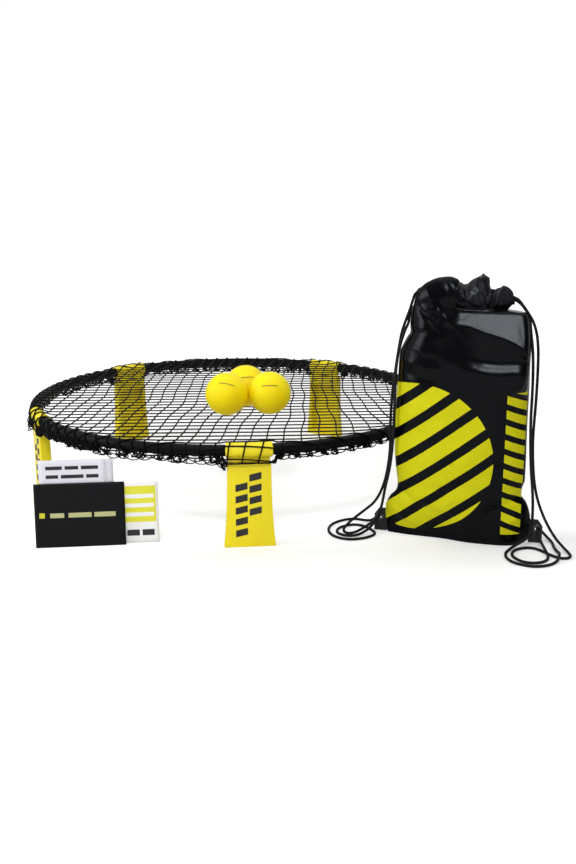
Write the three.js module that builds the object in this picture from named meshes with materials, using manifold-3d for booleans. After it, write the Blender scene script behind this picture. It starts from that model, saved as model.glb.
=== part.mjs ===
// Roundnet set: a ring of five tubes on five folding legs with a net stretched over it,
// three balls, a drawstring bag and three printed cards. Millimetres, +Z up, front is -Y.
import * as THREE from 'three';
import { mergeVertices } from 'three/addons/utils/BufferGeometryUtils.js';
import Module from 'manifold-3d';

const wasm = await Module();
wasm.setup();

// ---- Driving dimensions -------------------------------------------------------------

// Ring: curved tubes that plug into the collars on top of the legs.
const legCount = 5;
const ringRadius = 446; // to the centre of the tube
const ringHeight = 188.5; // centre of the tube over the ground
const rimDiameter = 22;
const rimWall = 2.2;
const rimSides = 12;
const rimBoreSides = 6;
const rimSteps = 12;

// Collars: sleeves around the tube ends, each with a neck and two hinge ears below.
const collarDiameter = 29;
const collarWidth = 86;
const collarSides = 14;
const collarSteps = 3;
const collarStopThickness = 3; // web between the two tube ends
const neckWidth = 78;
const neckInset = 5; // behind the outer face of the leg
const neckDepth = 15;
const earSpacing = 48; // centre to centre
const earThickness = 9;
const earRadius = 6.5;

// Legs: flared moulded panels that fold inward about a pin.
const legTopWidth = 82;
const legFootWidth = 98;
const legFlareHeight = 70; // where the side starts to flare
const legThickness = 21;
const legForward = 8.5; // outer face of the leg, outward of the middle of the ring tube
const legHeadRise = 7.5; // over the pin
const legWall = 3.5;
const legSoleHeight = 12; // solid part under the hollow back
const legHeadBlock = 24.5; // solid part over the hollow back
const hingeDrop = 32.5; // from the middle of the ring tube down to the pin
const hingeBack = 14.5; // from the outer face of the leg to the pin
const pinDiameter = 6;
const pinInset = 3; // each pin end inside the side of the leg
const pinSides = 12;

// Hooks under the ring tubes that hold the edge of the net.
const hookCount = 6; // on each tube
const hookEndSpace = 14; // from the side of a collar to the nearest hook
const hookWidth = 8;
const hookThickness = 2.4;
const hookPegTurn = THREE.MathUtils.degToRad(24); // width of the peg, around the tube
const hookHeelTurn = THREE.MathUtils.degToRad(13); // from the cord of the net to the peg
const hookTipTurn = THREE.MathUtils.degToRad(11); // from that cord to the tip

// Net: a flat bed inside the collars, and an edge that wraps over ring and collars.
const netPitch = 56; // every second strand of the real mesh
const netStrand = 4;
const netThickness = 2.4;
const netRise = 11.3; // from the middle of the tubes to the top of the net
const netTop = ringHeight + netRise;
const netTurn = THREE.MathUtils.degToRad(-4);
const netBorderWidth = 5;
const netBorderSegments = 60;
const netGapOverrun = 25; // of the middle of a gap past the border, where it still counts
const strapWidth = 4;
const strapThickness = 2;
const strapStart = THREE.MathUtils.degToRad(115); // up and inward around the tube
const strapEnd = THREE.MathUtils.degToRad(-50); // down and outward
const strapBends = 4;
const collarStrapSpacing = 40;
const edgeCordDiameter = 3;
const edgeCordSides = 5;
const edgeCordSteps = 48;
const edgeCordLap = 0.001; // of its two halves, around the ring

// Balls: hollow shells with a valve.
const ballDiameter = 89;
const ballWall = 2.5;
const ballMiddleX = 15.5; // middle between the two front balls
const ballFrontY = -211;
const ballSegments = 12;
const ballOuterRings = 8;
const ballInnerRings = 5;
const valveBoreDiameter = 6.4;
const valveLength = 6;
const ballTilt = THREE.MathUtils.degToRad(-17); // valve toward the back
const ballTurns = [23, -29, 6].map(THREE.MathUtils.degToRad);

// Drawstring bag, in a frame of its own on the ground: x to its right, front is -y.
const bagOut = 155.9; // from the ring tube to the middle of the bag
const bagBearing = THREE.MathUtils.degToRad(-48.03); // seen from the middle of the ring
const bagTurn = THREE.MathUtils.degToRad(-20);
const bagHeight = 441; // to the shoulder
const bagSegments = 24;
// Each row: height as a share of the shoulder's, left edge, right edge, half the depth.
const bagRows = [
  [0, -136, 136, 20],
  [0.06, -137, 137, 26],
  [0.13, -136, 135, 33],
  [0.205, -119, 122, 38],
  [0.295, -122, 125, 42],
  [0.45, -121, 123, 46],
  [0.61, -122, 124, 46],
  [0.78, -122, 123, 42],
  [0.845, -112, 121, 38],
  [0.915, -99, 116, 33],
  [0.97, -100, 109, 29],
  [1, -96, 100, 24],
];
// Top edge of the gathered mouth: across, and height over the shoulder.
const mouthOutline = [
  [-95, 16],
  [-89, 25],
  [-82, 38],
  [-70, 51],
  [-50, 61],
  [-30, 64],
  [-3, 49],
  [14, 60],
  [32, 69],
  [46, 42],
  [58, 43],
  [70, 47],
  [81, 38],
  [87, 16],
];
const mouthDepth = 25; // half of it, front to back
const mouthFolds = 9;
const mouthFoldDepth = 0.14; // as a share of the half depth
const mouthDip = 24; // of the gathered middle under the edge
const mouthSegments = 36;
const mouthNeckShare = 0.94; // of the width at the top edge

// Corner tabs of the bag, each with an eyelet for the drawstring.
const tabRows = 3; // rows of the bag beside the tab
const tabWidth = 24;
const tabHeight = 47;
const tabBottom = 2;
const tabCornerCut = 7;
const tabThickness = 2.4;
const eyeletInset = 10; // from the outer edge of the tab
const eyeletHeight = 30;
const eyeletBore = 11;
const eyeletBarrelWall = 1.3;
const eyeletFlange = 2.4; // wider than the barrel, all round
const eyeletFlangeThickness = 1.1;
const eyeletSegments = 8;

// Drawstrings: from the mouth down one side, in loops on the ground, through the eyelet
// and up to the mouth again. Points are chosen by hand in the frame of the bag.
const cordDiameter = 5;
const cordSides = 8;
const cordHoleGap = 0.9; // between the cord and its hole in the mouth
const leftCordPoints = [
  [-76, -4, 473.5], [-82, -4, 474.6], [-87.4, -4, 474.3], [-92, -4, 472.3], [-95.2, -4, 468.5],
  [-97.3, -4, 461.5], [-99.9, -4, 452.5], [-103.5, -4.3, 440], [-108, -5, 427], [-112.5, -5.5, 413],
  [-117, -5.5, 397], [-120, -4.5, 379],
  [-122.5, -4, 362], [-125, -4, 343], [-127.5, -3.5, 322], [-130.5, -3, 296], [-133, -3, 258],
  [-134, -3, 215], [-133.5, -3, 170], [-139, -3, 120], [-149, -3, 84],
  [-162, -3, 60], [-180, -2, 42], [-199, -1, 25], [-214, -8, 11], [-219, -22, 4],
  [-210, -35, 2.8], [-196, -37, 5.5], [-183, -31, 11], [-171, -23, 18], [-158, -13, 26],
  [-151.5, -2, 30], [-153, 10, 28.5], [-162, 22, 19], [-175, 36, 7], [-192, 46, 2.8],
  [-211, 48, 2.8], [-230, 36, 2.8], [-245, 14, 2.8], [-250, -13, 2.8], [-243, -42, 2.8],
  [-224, -63, 2.8], [-200, -68, 2.8], [-178, -59, 2.8], [-162, -43, 2.8], [-156, -26, 2.8],
  [-164, -9, 2.8], [-177, 5, 2.8], [-192, 14, 2.8], [-208, 13, 2.8], [-223, 1, 2.8],
  [-231, -17, 2.8], [-229, -36, 2.8], [-216, -48, 2.8], [-200, -49, 2.8], [-184, -42, 5],
  [-167, -32, 15], [-153, -22, 34], [-146, -14, 56], [-140, -13, 92], [-131, -15, 140],
  [-126, -17, 200], [-125, -18, 265], [-124, -18, 330], [-119, -15, 370], [-110.5, -10.5, 402],
  [-105.2, -2.5, 416], [-104.2, 4, 429], [-100, 7, 441], [-93, 7, 449.5], [-84, 7, 455],
];
const rightCordPoints = [
  [74, -4, 471], [90, -4, 466], [101, -4, 454], [112, -4, 439], [121, -4, 424],
  [129, -4, 398], [133, -4, 359], [134, -4, 285], [133, -4, 205],
  [138, -4, 140], [146, -5, 98], [158, -10, 66], [172, -16, 40], [187, -23, 20],
  [201, -33, 8], [210, -46, 3.4], [212, -60, 2.8], [204, -71, 2.8], [190, -71, 2.8],
  [176, -60, 2.8], [163, -46, 2.8], [149, -35, 2.8], [134, -34, 2.8], [119, -44, 2.8],
  [109, -60, 2.8], [108, -78, 2.8], [115, -94, 2.8], [128, -106, 2.8], [145, -108, 2.8],
  [160, -101, 2.8], [170, -87, 2.8], [172, -70, 4.5], [166, -49, 9.2], [160, -31, 14],
  [154, -15, 24], [151.5, -3, 30], [152, 8, 29], [159, 19, 20], [170, 19, 9],
  [180, 6, 3.2], [183, -15, 3], [186, -33, 4], [190, -50, 5.5], [192, -68, 9.4],
  [190, -83, 5], [185, -95, 2.8], [176, -108, 2.8], [162, -119, 2.8], [144, -124, 2.8], [124, -120, 2.8],
  [108, -110, 2.8], [98, -92, 2.8], [96, -72, 2.8], [101, -54, 3], [111, -39, 6.5],
  [123, -30, 12], [134, -24, 20], [140, -18, 34], [141, -16, 56], [139, -16, 98],
  [132, -18, 160], [127, -18, 235], [126, -18, 315], [123, -16, 370],
  [118, -11, 404], [113, 4, 432], [103, 6, 449], [90, 6, 461], [74, 6, 466],
];

// Cards that stand in front of the ring, against each other, in a frame of their own:
// x from the middle of the booklet's front, which is at y = 0.
const cardsOut = 68.8; // from the ring tube
const cardsBearing = THREE.MathUtils.degToRad(-128.99);
const bookletWidth = 139;
const bookletHeight = 167;
const bookletLeaf = 1.4;
const bookletOpening = THREE.MathUtils.degToRad(14);
const bookletStep = 9; // by which the back leaf is lower
const cardLeftX = -80;
const cardWidth = 169;
const cardHeight = 123;
const cardThickness = 1.2;
const cardLean = THREE.MathUtils.degToRad(7);
const stickerLeftX = 33;
const stickerSize = 119;
const stickerThickness = 0.8;
const stickerLean = THREE.MathUtils.degToRad(3.5);

const curveSteps = 4; // on each curve of an outline
const fitGap = 0.3; // between pieces that touch
const hingeGap = 0.5; // between an ear and its slot in the leg
const cutMargin = 1; // how far a cutter runs past a face

// ---- Values worked out from the driving dimensions --------------------------------------

const legAngle = 2 * Math.PI / legCount;
const frontAngle = -Math.PI / 2;
const rimRadius = rimDiameter / 2;
const collarRadius = collarDiameter / 2;
const edgeCordRadius = edgeCordDiameter / 2;
const legOuterRadius = ringRadius + legForward;
const legInnerRadius = legOuterRadius - legThickness;
const hingeRadius = legOuterRadius - hingeBack;
const hingeHeight = ringHeight - hingeDrop;
const legHeadHeight = hingeHeight + legHeadRise;
const pinRadius = pinDiameter / 2;
const pinHoleRadius = pinRadius + fitGap;
const bedRadius = ringRadius - collarRadius - hingeGap;
const edgeCordReach = collarRadius + fitGap + edgeCordRadius + fitGap;
const ballRadius = ballDiameter / 2;
const valveRadius = valveBoreDiameter / 2 - fitGap;
const cordRadius = cordDiameter / 2;

// ---- Materials ------------------------------------------------------------------------

const plastic = (color, roughness) => new THREE.MeshStandardMaterial({ color, roughness, metalness: 0 });
const looks = {
  rim: plastic('#17171a', 0.45),
  leg: plastic('#e6d42a', 0.5),
  net: plastic('#121214', 0.8),
  pin: new THREE.MeshStandardMaterial({ color: '#8d9094', roughness: 0.35, metalness: 1 }),
  ball: plastic('#f8c61c', 0.55),
  valve: plastic('#d9a514', 0.6),
  bag: plastic('#131316', 0.42),
  trim: plastic('#0f0f11', 0.7),
  cord: plastic('#101012', 0.8),
  booklet: plastic('#ecebf2', 0.6),
  card: plastic('#1e1f24', 0.5),
  sticker: plastic('#f4f4f2', 0.4),
};

// ---- Helpers --------------------------------------------------------------------------

function toSolid(geometry) {
  geometry.deleteAttribute('normal');
  geometry.deleteAttribute('uv');
  const merged = mergeVertices(geometry, 1e-4);
  const vertProperties = new Float32Array(merged.attributes.position.array);
  const triVerts = new Uint32Array(merged.index.array);
  return new wasm.Manifold(new wasm.Mesh({ numProp: 3, vertProperties, triVerts }));
}

function toGeometry(solid) {
  const mesh = solid.getMesh();
  const geometry = new THREE.BufferGeometry();
  geometry.setAttribute('position', new THREE.BufferAttribute(mesh.vertProperties, 3));
  geometry.setIndex(new THREE.BufferAttribute(mesh.triVerts, 1));
  return geometry;
}

function joined(geometries) {
  return geometries.map(toSolid).reduce((whole, solid) => whole.add(solid));
}

function addMesh(parent, name, geometry, material) {
  const mesh = new THREE.Mesh(geometry, material);
  mesh.name = name;
  parent.add(mesh);
  return mesh;
}

function ringPoints(radius, sides) {
  return Array.from({ length: sides }, (_, i) => {
    const angle = 2 * Math.PI * (i + 0.5) / sides;
    return new THREE.Vector2(radius * Math.cos(angle), radius * Math.sin(angle));
  });
}

// A box from its two far corners.
function box(low, high) {
  const size = high.map((value, i) => value - low[i]);
  const geometry = new THREE.BoxGeometry(...size);
  return geometry.translate(low[0] + size[0] / 2, low[1] + size[1] / 2, low[2] + size[2] / 2);
}

function plate(shape, depth) {
  return new THREE.ExtrudeGeometry(shape, { depth, bevelEnabled: false, curveSegments: curveSteps });
}

// An outline drawn as (outward, up), centred across its thickness at the front of the ring.
function radialPlate(shape, thickness) {
  const geometry = plate(shape, thickness).translate(0, 0, -thickness / 2);
  const outward = new THREE.Vector3(0, -1, 0);
  const up = new THREE.Vector3(0, 0, 1);
  const across = new THREE.Vector3(-1, 0, 0);
  return geometry.applyMatrix4(new THREE.Matrix4().makeBasis(outward, up, across));
}

// An outline drawn as (x, up), with its back at y and its thickness toward the front.
function facingPlate(shape, thickness, y) {
  return plate(shape, thickness).rotateX(Math.PI / 2).translate(0, y, 0);
}

function crossRod(radius, length, y, z) {
  return new THREE.CylinderGeometry(radius, radius, length, pinSides).rotateZ(Math.PI / 2).translate(0, y, z);
}

// ---- Ring -------------------------------------------------------------------------------

class RingPath extends THREE.Curve {
  constructor(radius, start, end, height) {
    super();
    this.radius = radius;
    this.start = start;
    this.end = end;
    this.height = height;
  }

  getPoint(t, target = new THREE.Vector3()) {
    const angle = THREE.MathUtils.lerp(this.start, this.end, t);
    return target.set(this.radius * Math.cos(angle), this.radius * Math.sin(angle), this.height);
  }
}

function ringTube(radius, sides, start, end, steps) {
  const section = new THREE.Shape(ringPoints(radius, sides));
  const extrudePath = new RingPath(ringRadius, start, end, ringHeight);
  return new THREE.ExtrudeGeometry(section, { steps, extrudePath });
}

// The tube that leaves the front collar to the right, or the space that it needs.
function rimTube(radius, stopGap, sides = rimSides) {
  const inset = (collarStopThickness / 2 + stopGap) / ringRadius;
  return ringTube(radius, sides, frontAngle + inset, frontAngle + legAngle - inset, rimSteps);
}

function aroundTube(reach, angle) {
  return new THREE.Vector2(reach * Math.cos(angle), reach * Math.sin(angle));
}

// A peg that drops from the tube and turns outward under the cord of the net.
function hookShape() {
  const root = rimRadius - rimWall / 2;
  const pegHalf = hookPegTurn / 2;
  const tip = strapEnd + hookTipTurn;
  const heel = strapEnd - hookHeelTurn;
  const inside = (edgeCordReach + edgeCordRadius + fitGap) / Math.cos((tip - heel) / 2);
  const outside = inside + hookThickness;
  return new THREE.Shape([
    aroundTube(root, heel - 2 * pegHalf),
    aroundTube(outside, heel - pegHalf),
    aroundTube(outside, tip),
    aroundTube(inside, tip),
    aroundTube(inside, heel),
    aroundTube(root, heel),
  ]);
}

function hookAngles() {
  const first = (collarWidth / 2 + hookEndSpace) / ringRadius;
  const pitch = (legAngle - 2 * first) / (hookCount - 1);
  return Array.from({ length: hookCount }, (_, i) => first + i * pitch);
}

function rimArc() {
  let solid = toSolid(rimTube(rimRadius, fitGap));
  for (const angle of hookAngles()) {
    const hook = radialPlate(hookShape(), hookWidth).translate(0, -ringRadius, ringHeight);
    solid = solid.add(toSolid(hook.rotateZ(angle)));
  }
  return solid.subtract(toSolid(rimTube(rimRadius - rimWall, -fitGap, rimBoreSides)));
}

// ---- Legs and their collars ----------------------------------------------------------------

function earShape() {
  const shape = new THREE.Shape();
  const top = hingeDrop - rimRadius;
  shape.moveTo(-earRadius, top);
  shape.lineTo(-earRadius, 0);
  shape.absarc(0, 0, earRadius, Math.PI, 2 * Math.PI, false);
  shape.lineTo(earRadius, top);
  return shape;
}

function earPositions() {
  return [-earSpacing / 2, earSpacing / 2];
}

function legCollar() {
  const half = collarWidth / 2 / ringRadius;
  const sleeve = ringTube(collarRadius, collarSides, frontAngle - half, frontAngle + half, collarSteps);
  const neckFront = -(legOuterRadius - neckInset);
  const neckBottom = hingeHeight + Math.hypot(earRadius, legHeadRise) + fitGap + hingeGap;
  const neck = box([-neckWidth / 2, neckFront, neckBottom],
    [neckWidth / 2, neckFront + neckDepth, ringHeight - rimRadius / 2]);
  const ears = earPositions().map((x) => (
    radialPlate(earShape(), earThickness).translate(x, -hingeRadius, hingeHeight)));
  const bore = rimTube(rimRadius + fitGap, 0);
  return joined([sleeve, neck, ...ears])
    .subtract(toSolid(bore.clone()))
    .subtract(toSolid(bore.clone().rotateZ(-legAngle)))
    .subtract(toSolid(crossRod(pinHoleRadius, neckWidth, -hingeRadius, hingeHeight)));
}

function legOutline() {
  const shape = new THREE.Shape();
  shape.moveTo(-legFootWidth / 2, 0);
  shape.lineTo(legFootWidth / 2, 0);
  shape.quadraticCurveTo(legTopWidth / 2, legFlareHeight, legTopWidth / 2, legHeadHeight);
  shape.lineTo(-legTopWidth / 2, legHeadHeight);
  shape.quadraticCurveTo(-legTopWidth / 2, legFlareHeight, -legFootWidth / 2, 0);
  return shape;
}

function leg() {
  let solid = toSolid(facingPlate(legOutline(), legThickness, -legInnerRadius));
  const pocketHalf = legTopWidth / 2 - 2 * legWall;
  solid = solid.subtract(toSolid(box([-pocketHalf, -legOuterRadius + legWall, legSoleHeight],
    [pocketHalf, -legInnerRadius + cutMargin, legHeadHeight - legHeadBlock])));
  const slotHalf = earThickness / 2 + hingeGap;
  const slotReach = earRadius + hingeGap;
  for (const x of earPositions()) {
    solid = solid.subtract(toSolid(box([x - slotHalf, -hingeRadius - slotReach, hingeHeight - slotReach],
      [x + slotHalf, -legInnerRadius + cutMargin, legHeadHeight + cutMargin])));
  }
  const pinHole = crossRod(pinHoleRadius, legTopWidth + 2 * cutMargin, -hingeRadius, hingeHeight);
  return solid.subtract(toSolid(pinHole));
}

// ---- Net ----------------------------------------------------------------------------------

function disc(radius, thickness, top) {
  return new THREE.CylinderGeometry(radius, radius, thickness, netBorderSegments)
    .rotateX(Math.PI / 2).translate(0, 0, top - thickness / 2);
}

// Square gaps on a turned grid, cut to the inside of the border.
function netBed() {
  const gap = netPitch - netStrand;
  const reach = bedRadius - netBorderWidth;
  const cells = Math.ceil(reach / netPitch);
  const gaps = [];
  for (let i = -cells; i < cells; i += 1) {
    for (let j = -cells; j < cells; j += 1) {
      const x = (i + 0.5) * netPitch;
      const y = (j + 0.5) * netPitch;
      if (Math.hypot(x, y) > reach + netGapOverrun) continue;
      gaps.push(new THREE.Shape([
        new THREE.Vector2(x - gap / 2, y - gap / 2),
        new THREE.Vector2(x + gap / 2, y - gap / 2),
        new THREE.Vector2(x + gap / 2, y + gap / 2),
        new THREE.Vector2(x - gap / 2, y + gap / 2),
      ]));
    }
  }
  const cutDepth = netThickness + 2 * cutMargin;
  const grid = new THREE.ExtrudeGeometry(gaps, { depth: cutDepth, bevelEnabled: false });
  grid.rotateZ(netTurn).translate(0, 0, netTop - netThickness - cutMargin);
  const inside = toSolid(disc(reach, cutDepth, netTop + cutMargin));
  return toSolid(disc(bedRadius, netThickness, netTop)).subtract(toSolid(grid).intersect(inside));
}

// One strand of the edge, from the bed over the tube or collar to the cord under it.
function strapShape(innerReach) {
  const step = (strapStart - strapEnd) / strapBends;
  const clearReach = innerReach / Math.cos(step / 2);
  const bedEnd = bedRadius + fitGap - ringRadius;
  const bedHeight = netTop - ringHeight;
  const inner = [new THREE.Vector2(bedEnd, bedHeight - netThickness)];
  const outer = [new THREE.Vector2(bedEnd, bedHeight)];
  for (let i = 0; i <= strapBends; i += 1) {
    const angle = strapStart - i * step;
    const last = i === strapBends;
    const reach = last ? edgeCordReach - strapThickness / 2 : clearReach;
    inner.push(aroundTube(reach, angle));
    outer.push(aroundTube(reach + strapThickness, angle));
  }
  return new THREE.Shape([...inner, ...outer.reverse()]);
}

function netEdge() {
  const section = new THREE.Shape(ringPoints(edgeCordRadius, edgeCordSides));
  const drop = edgeCordReach * Math.sin(-strapEnd);
  const cordRing = ringRadius + edgeCordReach * Math.cos(strapEnd);
  const halves = [0, Math.PI].map((start) => new THREE.ExtrudeGeometry(section, {
    steps: edgeCordSteps / 2,
    extrudePath: new RingPath(cordRing, start, start + Math.PI + edgeCordLap, ringHeight - drop),
  }));
  let solid = joined(halves);
  const onTube = strapShape(rimRadius + fitGap);
  const onCollar = strapShape(collarRadius + fitGap);
  for (let k = 0; k < legCount; k += 1) {
    const places = hookAngles().map((angle) => [onTube, angle]);
    for (const side of [-1, 1]) places.push([onCollar, side * collarStrapSpacing / 2 / ringRadius]);
    for (const [shape, angle] of places) {
      const strap = radialPlate(shape, strapWidth).translate(0, -ringRadius, ringHeight);
      solid = solid.add(toSolid(strap.rotateZ(angle + k * legAngle)));
    }
  }
  return solid;
}

// ---- Balls --------------------------------------------------------------------------------

// Turned about y with the valve at the top, open through the bore.
function ballShell() {
  const boreRadius = valveBoreDiameter / 2;
  const arc = (radius, rings) => {
    const open = Math.asin(boreRadius / radius);
    return Array.from({ length: rings + 1 }, (_, i) => {
      const angle = Math.PI - (Math.PI - open) * i / rings;
      return new THREE.Vector2(i === 0 ? 0 : radius * Math.sin(angle), radius * Math.cos(angle));
    });
  };
  const outer = arc(ballRadius, ballOuterRings);
  const inner = arc(ballRadius - ballWall, ballInnerRings).reverse();
  return toSolid(new THREE.LatheGeometry([...outer, ...inner], ballSegments));
}

function valvePlug() {
  const top = Math.sqrt(ballRadius ** 2 - (valveBoreDiameter / 2) ** 2);
  return new THREE.CylinderGeometry(valveRadius, valveRadius, valveLength, ballSegments)
    .translate(0, top - valveLength / 2, 0);
}

// ---- Bag ----------------------------------------------------------------------------------

function valueAt(points, x) {
  const next = points.findIndex((point) => point[0] >= x);
  if (next === 0) return points[0][1];
  if (next < 0) return points[points.length - 1][1];
  const [x0, y0] = points[next - 1];
  const [x1, y1] = points[next];
  return THREE.MathUtils.mapLinear(x, x0, x1, y0, y1);
}

// Moves each corner of a unit cylinder: across and front to back in -1 to 1, up in 0 to 1.
function shapedColumn(segments, rows, place) {
  const geometry = new THREE.CylinderGeometry(1, 1, 1, segments, rows);
  const position = geometry.attributes.position;
  for (let i = 0; i < position.count; i += 1) {
    const spot = place(position.getX(i), -position.getZ(i), position.getY(i) + 0.5);
    position.setXYZ(i, ...spot);
  }
  return toSolid(geometry);
}

function bagBody() {
  return shapedColumn(bagSegments, bagRows.length - 1, (across, back, up) => {
    const [share, left, right, depth] = bagRows[Math.round(up * (bagRows.length - 1))];
    const x = THREE.MathUtils.mapLinear(across, -1, 1, left, right);
    return [x, back * depth, share * bagHeight];
  });
}

function bagMouth(cordPoints) {
  const left = mouthOutline[0][0];
  const right = mouthOutline[mouthOutline.length - 1][0];
  const base = bagHeight + fitGap;
  let solid = shapedColumn(mouthSegments, 2, (across, back, up) => {
    const rim = Math.hypot(across, back);
    const fold = 1 + mouthFoldDepth * up * Math.cos(mouthFolds * Math.atan2(back, across));
    const share = THREE.MathUtils.lerp(mouthNeckShare, 1, up);
    const x = THREE.MathUtils.mapLinear(across * share, -1, 1, left, right);
    const edge = valueAt(mouthOutline, x) - mouthDip * (1 - rim);
    return [x, back * mouthDepth * fold, base + up * edge];
  });
  const holeRadius = cordRadius + cordHoleGap;
  for (const points of cordPoints) {
    for (const [end, next] of [[points[0], points[1]], [points.at(-1), points.at(-2)]]) {
      const start = new THREE.Vector3(...end);
      const run = new THREE.Vector3(...next).sub(start);
      const length = 2 * run.length();
      const turn = new THREE.Quaternion().setFromUnitVectors(new THREE.Vector3(0, 1, 0), run.normalize());
      const hole = new THREE.CylinderGeometry(holeRadius, holeRadius, length, cordSides)
        .translate(0, length / 2 - cordHoleGap, 0)
        .applyQuaternion(turn)
        .translate(...start);
      solid = solid.subtract(toSolid(hole));
    }
  }
  return solid;
}

// The tab of the right corner; the left one is the same, turned over.
function tabOutline(start) {
  const outer = start + tabWidth;
  const top = tabBottom + tabHeight;
  return new THREE.Shape([
    new THREE.Vector2(start, tabBottom),
    new THREE.Vector2(outer, tabBottom),
    new THREE.Vector2(outer, top - tabCornerCut),
    new THREE.Vector2(outer - tabCornerCut, top),
    new THREE.Vector2(start, top),
  ]);
}

function cornerTab(side) {
  const start = Math.max(...bagRows.slice(0, tabRows).map((row) => Math.abs(row[2]))) + fitGap;
  const barrel = eyeletBore / 2 + eyeletBarrelWall;
  const eyeletX = start + tabWidth - eyeletInset;
  const plate = facingPlate(tabOutline(start), tabThickness, tabThickness / 2);
  const hole = new THREE.CylinderGeometry(barrel + fitGap, barrel + fitGap, tabThickness + 2 * cutMargin,
    eyeletSegments).translate(eyeletX, 0, eyeletHeight);
  const tab = toSolid(plate).subtract(toSolid(hole));
  return { tab: side > 0 ? tab : tab.rotate([0, 0, 180]), eyeletX: side * eyeletX };
}

function eyelet() {
  const bore = eyeletBore / 2;
  const barrel = bore + eyeletBarrelWall;
  const flange = barrel + eyeletFlange;
  const groove = tabThickness / 2 + fitGap;
  const half = groove + eyeletFlangeThickness;
  const profile = [
    [bore, -half], [flange, -half], [flange, -groove], [barrel, -groove],
    [barrel, groove], [flange, groove], [flange, half], [bore, half], [bore, -half],
  ].map((point) => new THREE.Vector2(...point));
  return new THREE.LatheGeometry(profile, eyeletSegments);
}

// A smooth curve through its points that is stepped from point to point.
class CordPath extends THREE.CatmullRomCurve3 {
  getUtoTmapping(u) {
    return u;
  }
}

function cord(points) {
  const path = new CordPath(points.map((point) => new THREE.Vector3(...point)));
  const section = new THREE.Shape(ringPoints(cordRadius, cordSides));
  return new THREE.ExtrudeGeometry(section, { steps: points.length - 1, extrudePath: path });
}

// ---- Cards --------------------------------------------------------------------------------

// Two leaves on a fold at the left, seen from above, standing on their lower edges.
function booklet() {
  const left = -bookletWidth / 2;
  const open = new THREE.Vector2(Math.cos(bookletOpening), Math.sin(bookletOpening));
  const across = new THREE.Vector2(-open.y, open.x);
  const fold = new THREE.Vector2(left, 0);
  const inner = fold.clone().add(new THREE.Vector2(bookletLeaf / Math.tan(bookletOpening / 2), bookletLeaf));
  const end = fold.clone().addScaledVector(open, bookletWidth);
  const shape = new THREE.Shape([
    fold,
    new THREE.Vector2(left + bookletWidth, 0),
    new THREE.Vector2(left + bookletWidth, bookletLeaf),
    inner,
    end.clone().addScaledVector(across, -bookletLeaf),
    end,
  ]);
  const leaves = toSolid(new THREE.ExtrudeGeometry(shape, { depth: bookletHeight, bevelEnabled: false }));
  const step = box([left - cutMargin, bookletLeaf, bookletHeight - bookletStep],
    [left + bookletWidth + cutMargin, bookletWidth, bookletHeight + cutMargin]);
  return toGeometry(leaves.subtract(toSolid(step)));
}

// A sheet that leans back until its top edge is at topY, standing on its lower back edge.
function leaningSheet(width, height, thickness, lean, leftX, topY) {
  return box([0, -thickness, 0], [width, 0, height])
    .rotateX(-lean)
    .translate(leftX, topY - height * Math.sin(lean), 0);
}

// ---- Assembly -------------------------------------------------------------------------------

const set = new THREE.Group();

const rimGeometry = toGeometry(rimArc());
const collarGeometry = toGeometry(legCollar());
const legGeometry = toGeometry(leg());
const pinGeometry = crossRod(pinRadius, legTopWidth - 2 * pinInset, -hingeRadius, hingeHeight);
for (let i = 0; i < legCount; i += 1) {
  const sector = new THREE.Group();
  sector.rotation.z = i * legAngle;
  addMesh(sector, `rim_arc_${i + 1}`, rimGeometry, looks.rim);
  addMesh(sector, `leg_collar_${i + 1}`, collarGeometry, looks.leg);
  addMesh(sector, `leg_${i + 1}`, legGeometry, looks.leg);
  addMesh(sector, `hinge_pin_${i + 1}`, pinGeometry, looks.pin);
  set.add(sector);
}

addMesh(set, 'net_bed', toGeometry(netBed()), looks.net);
addMesh(set, 'net_edge', toGeometry(netEdge()), looks.net);

const ballSpacing = ballDiameter + fitGap;
const ballPlaces = [
  [ballMiddleX - ballSpacing / 2, ballFrontY],
  [ballMiddleX + ballSpacing / 2, ballFrontY],
  [ballMiddleX, ballFrontY + ballSpacing * Math.sin(Math.PI / 3)],
];
const shellGeometry = toGeometry(ballShell());
ballPlaces.forEach(([x, y], i) => {
  const ball = new THREE.Group();
  ball.position.set(x, y, netTop + fitGap + ballRadius);
  ball.rotation.set(ballTilt, 0, ballTurns[i]);
  addMesh(ball, `ball_${i + 1}`, shellGeometry, looks.ball);
  addMesh(ball, `ball_valve_${i + 1}`, valvePlug(), looks.valve);
  set.add(ball);
});

// A group on the ground, outside the ring at a bearing from its middle.
function groundGroup(out, bearing) {
  const group = new THREE.Group();
  const reach = ringRadius + out;
  group.position.set(reach * Math.cos(bearing), reach * Math.sin(bearing), 0);
  set.add(group);
  return group;
}

const bag = groundGroup(bagOut, bagBearing);
bag.rotation.z = bagTurn;
addMesh(bag, 'bag_body', toGeometry(bagBody()), looks.bag);
addMesh(bag, 'bag_mouth', toGeometry(bagMouth([leftCordPoints, rightCordPoints])), looks.bag);
for (const [name, side] of [['left', -1], ['right', 1]]) {
  const { tab, eyeletX } = cornerTab(side);
  addMesh(bag, `corner_tab_${name}`, toGeometry(tab), looks.trim);
  addMesh(bag, `eyelet_${name}`, eyelet(), looks.pin).position.set(eyeletX, 0, eyeletHeight);
}
const cords = [
  addMesh(bag, 'drawstring_left', cord(leftCordPoints), looks.cord),
  addMesh(bag, 'drawstring_right', cord(rightCordPoints), looks.cord),
];

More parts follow.
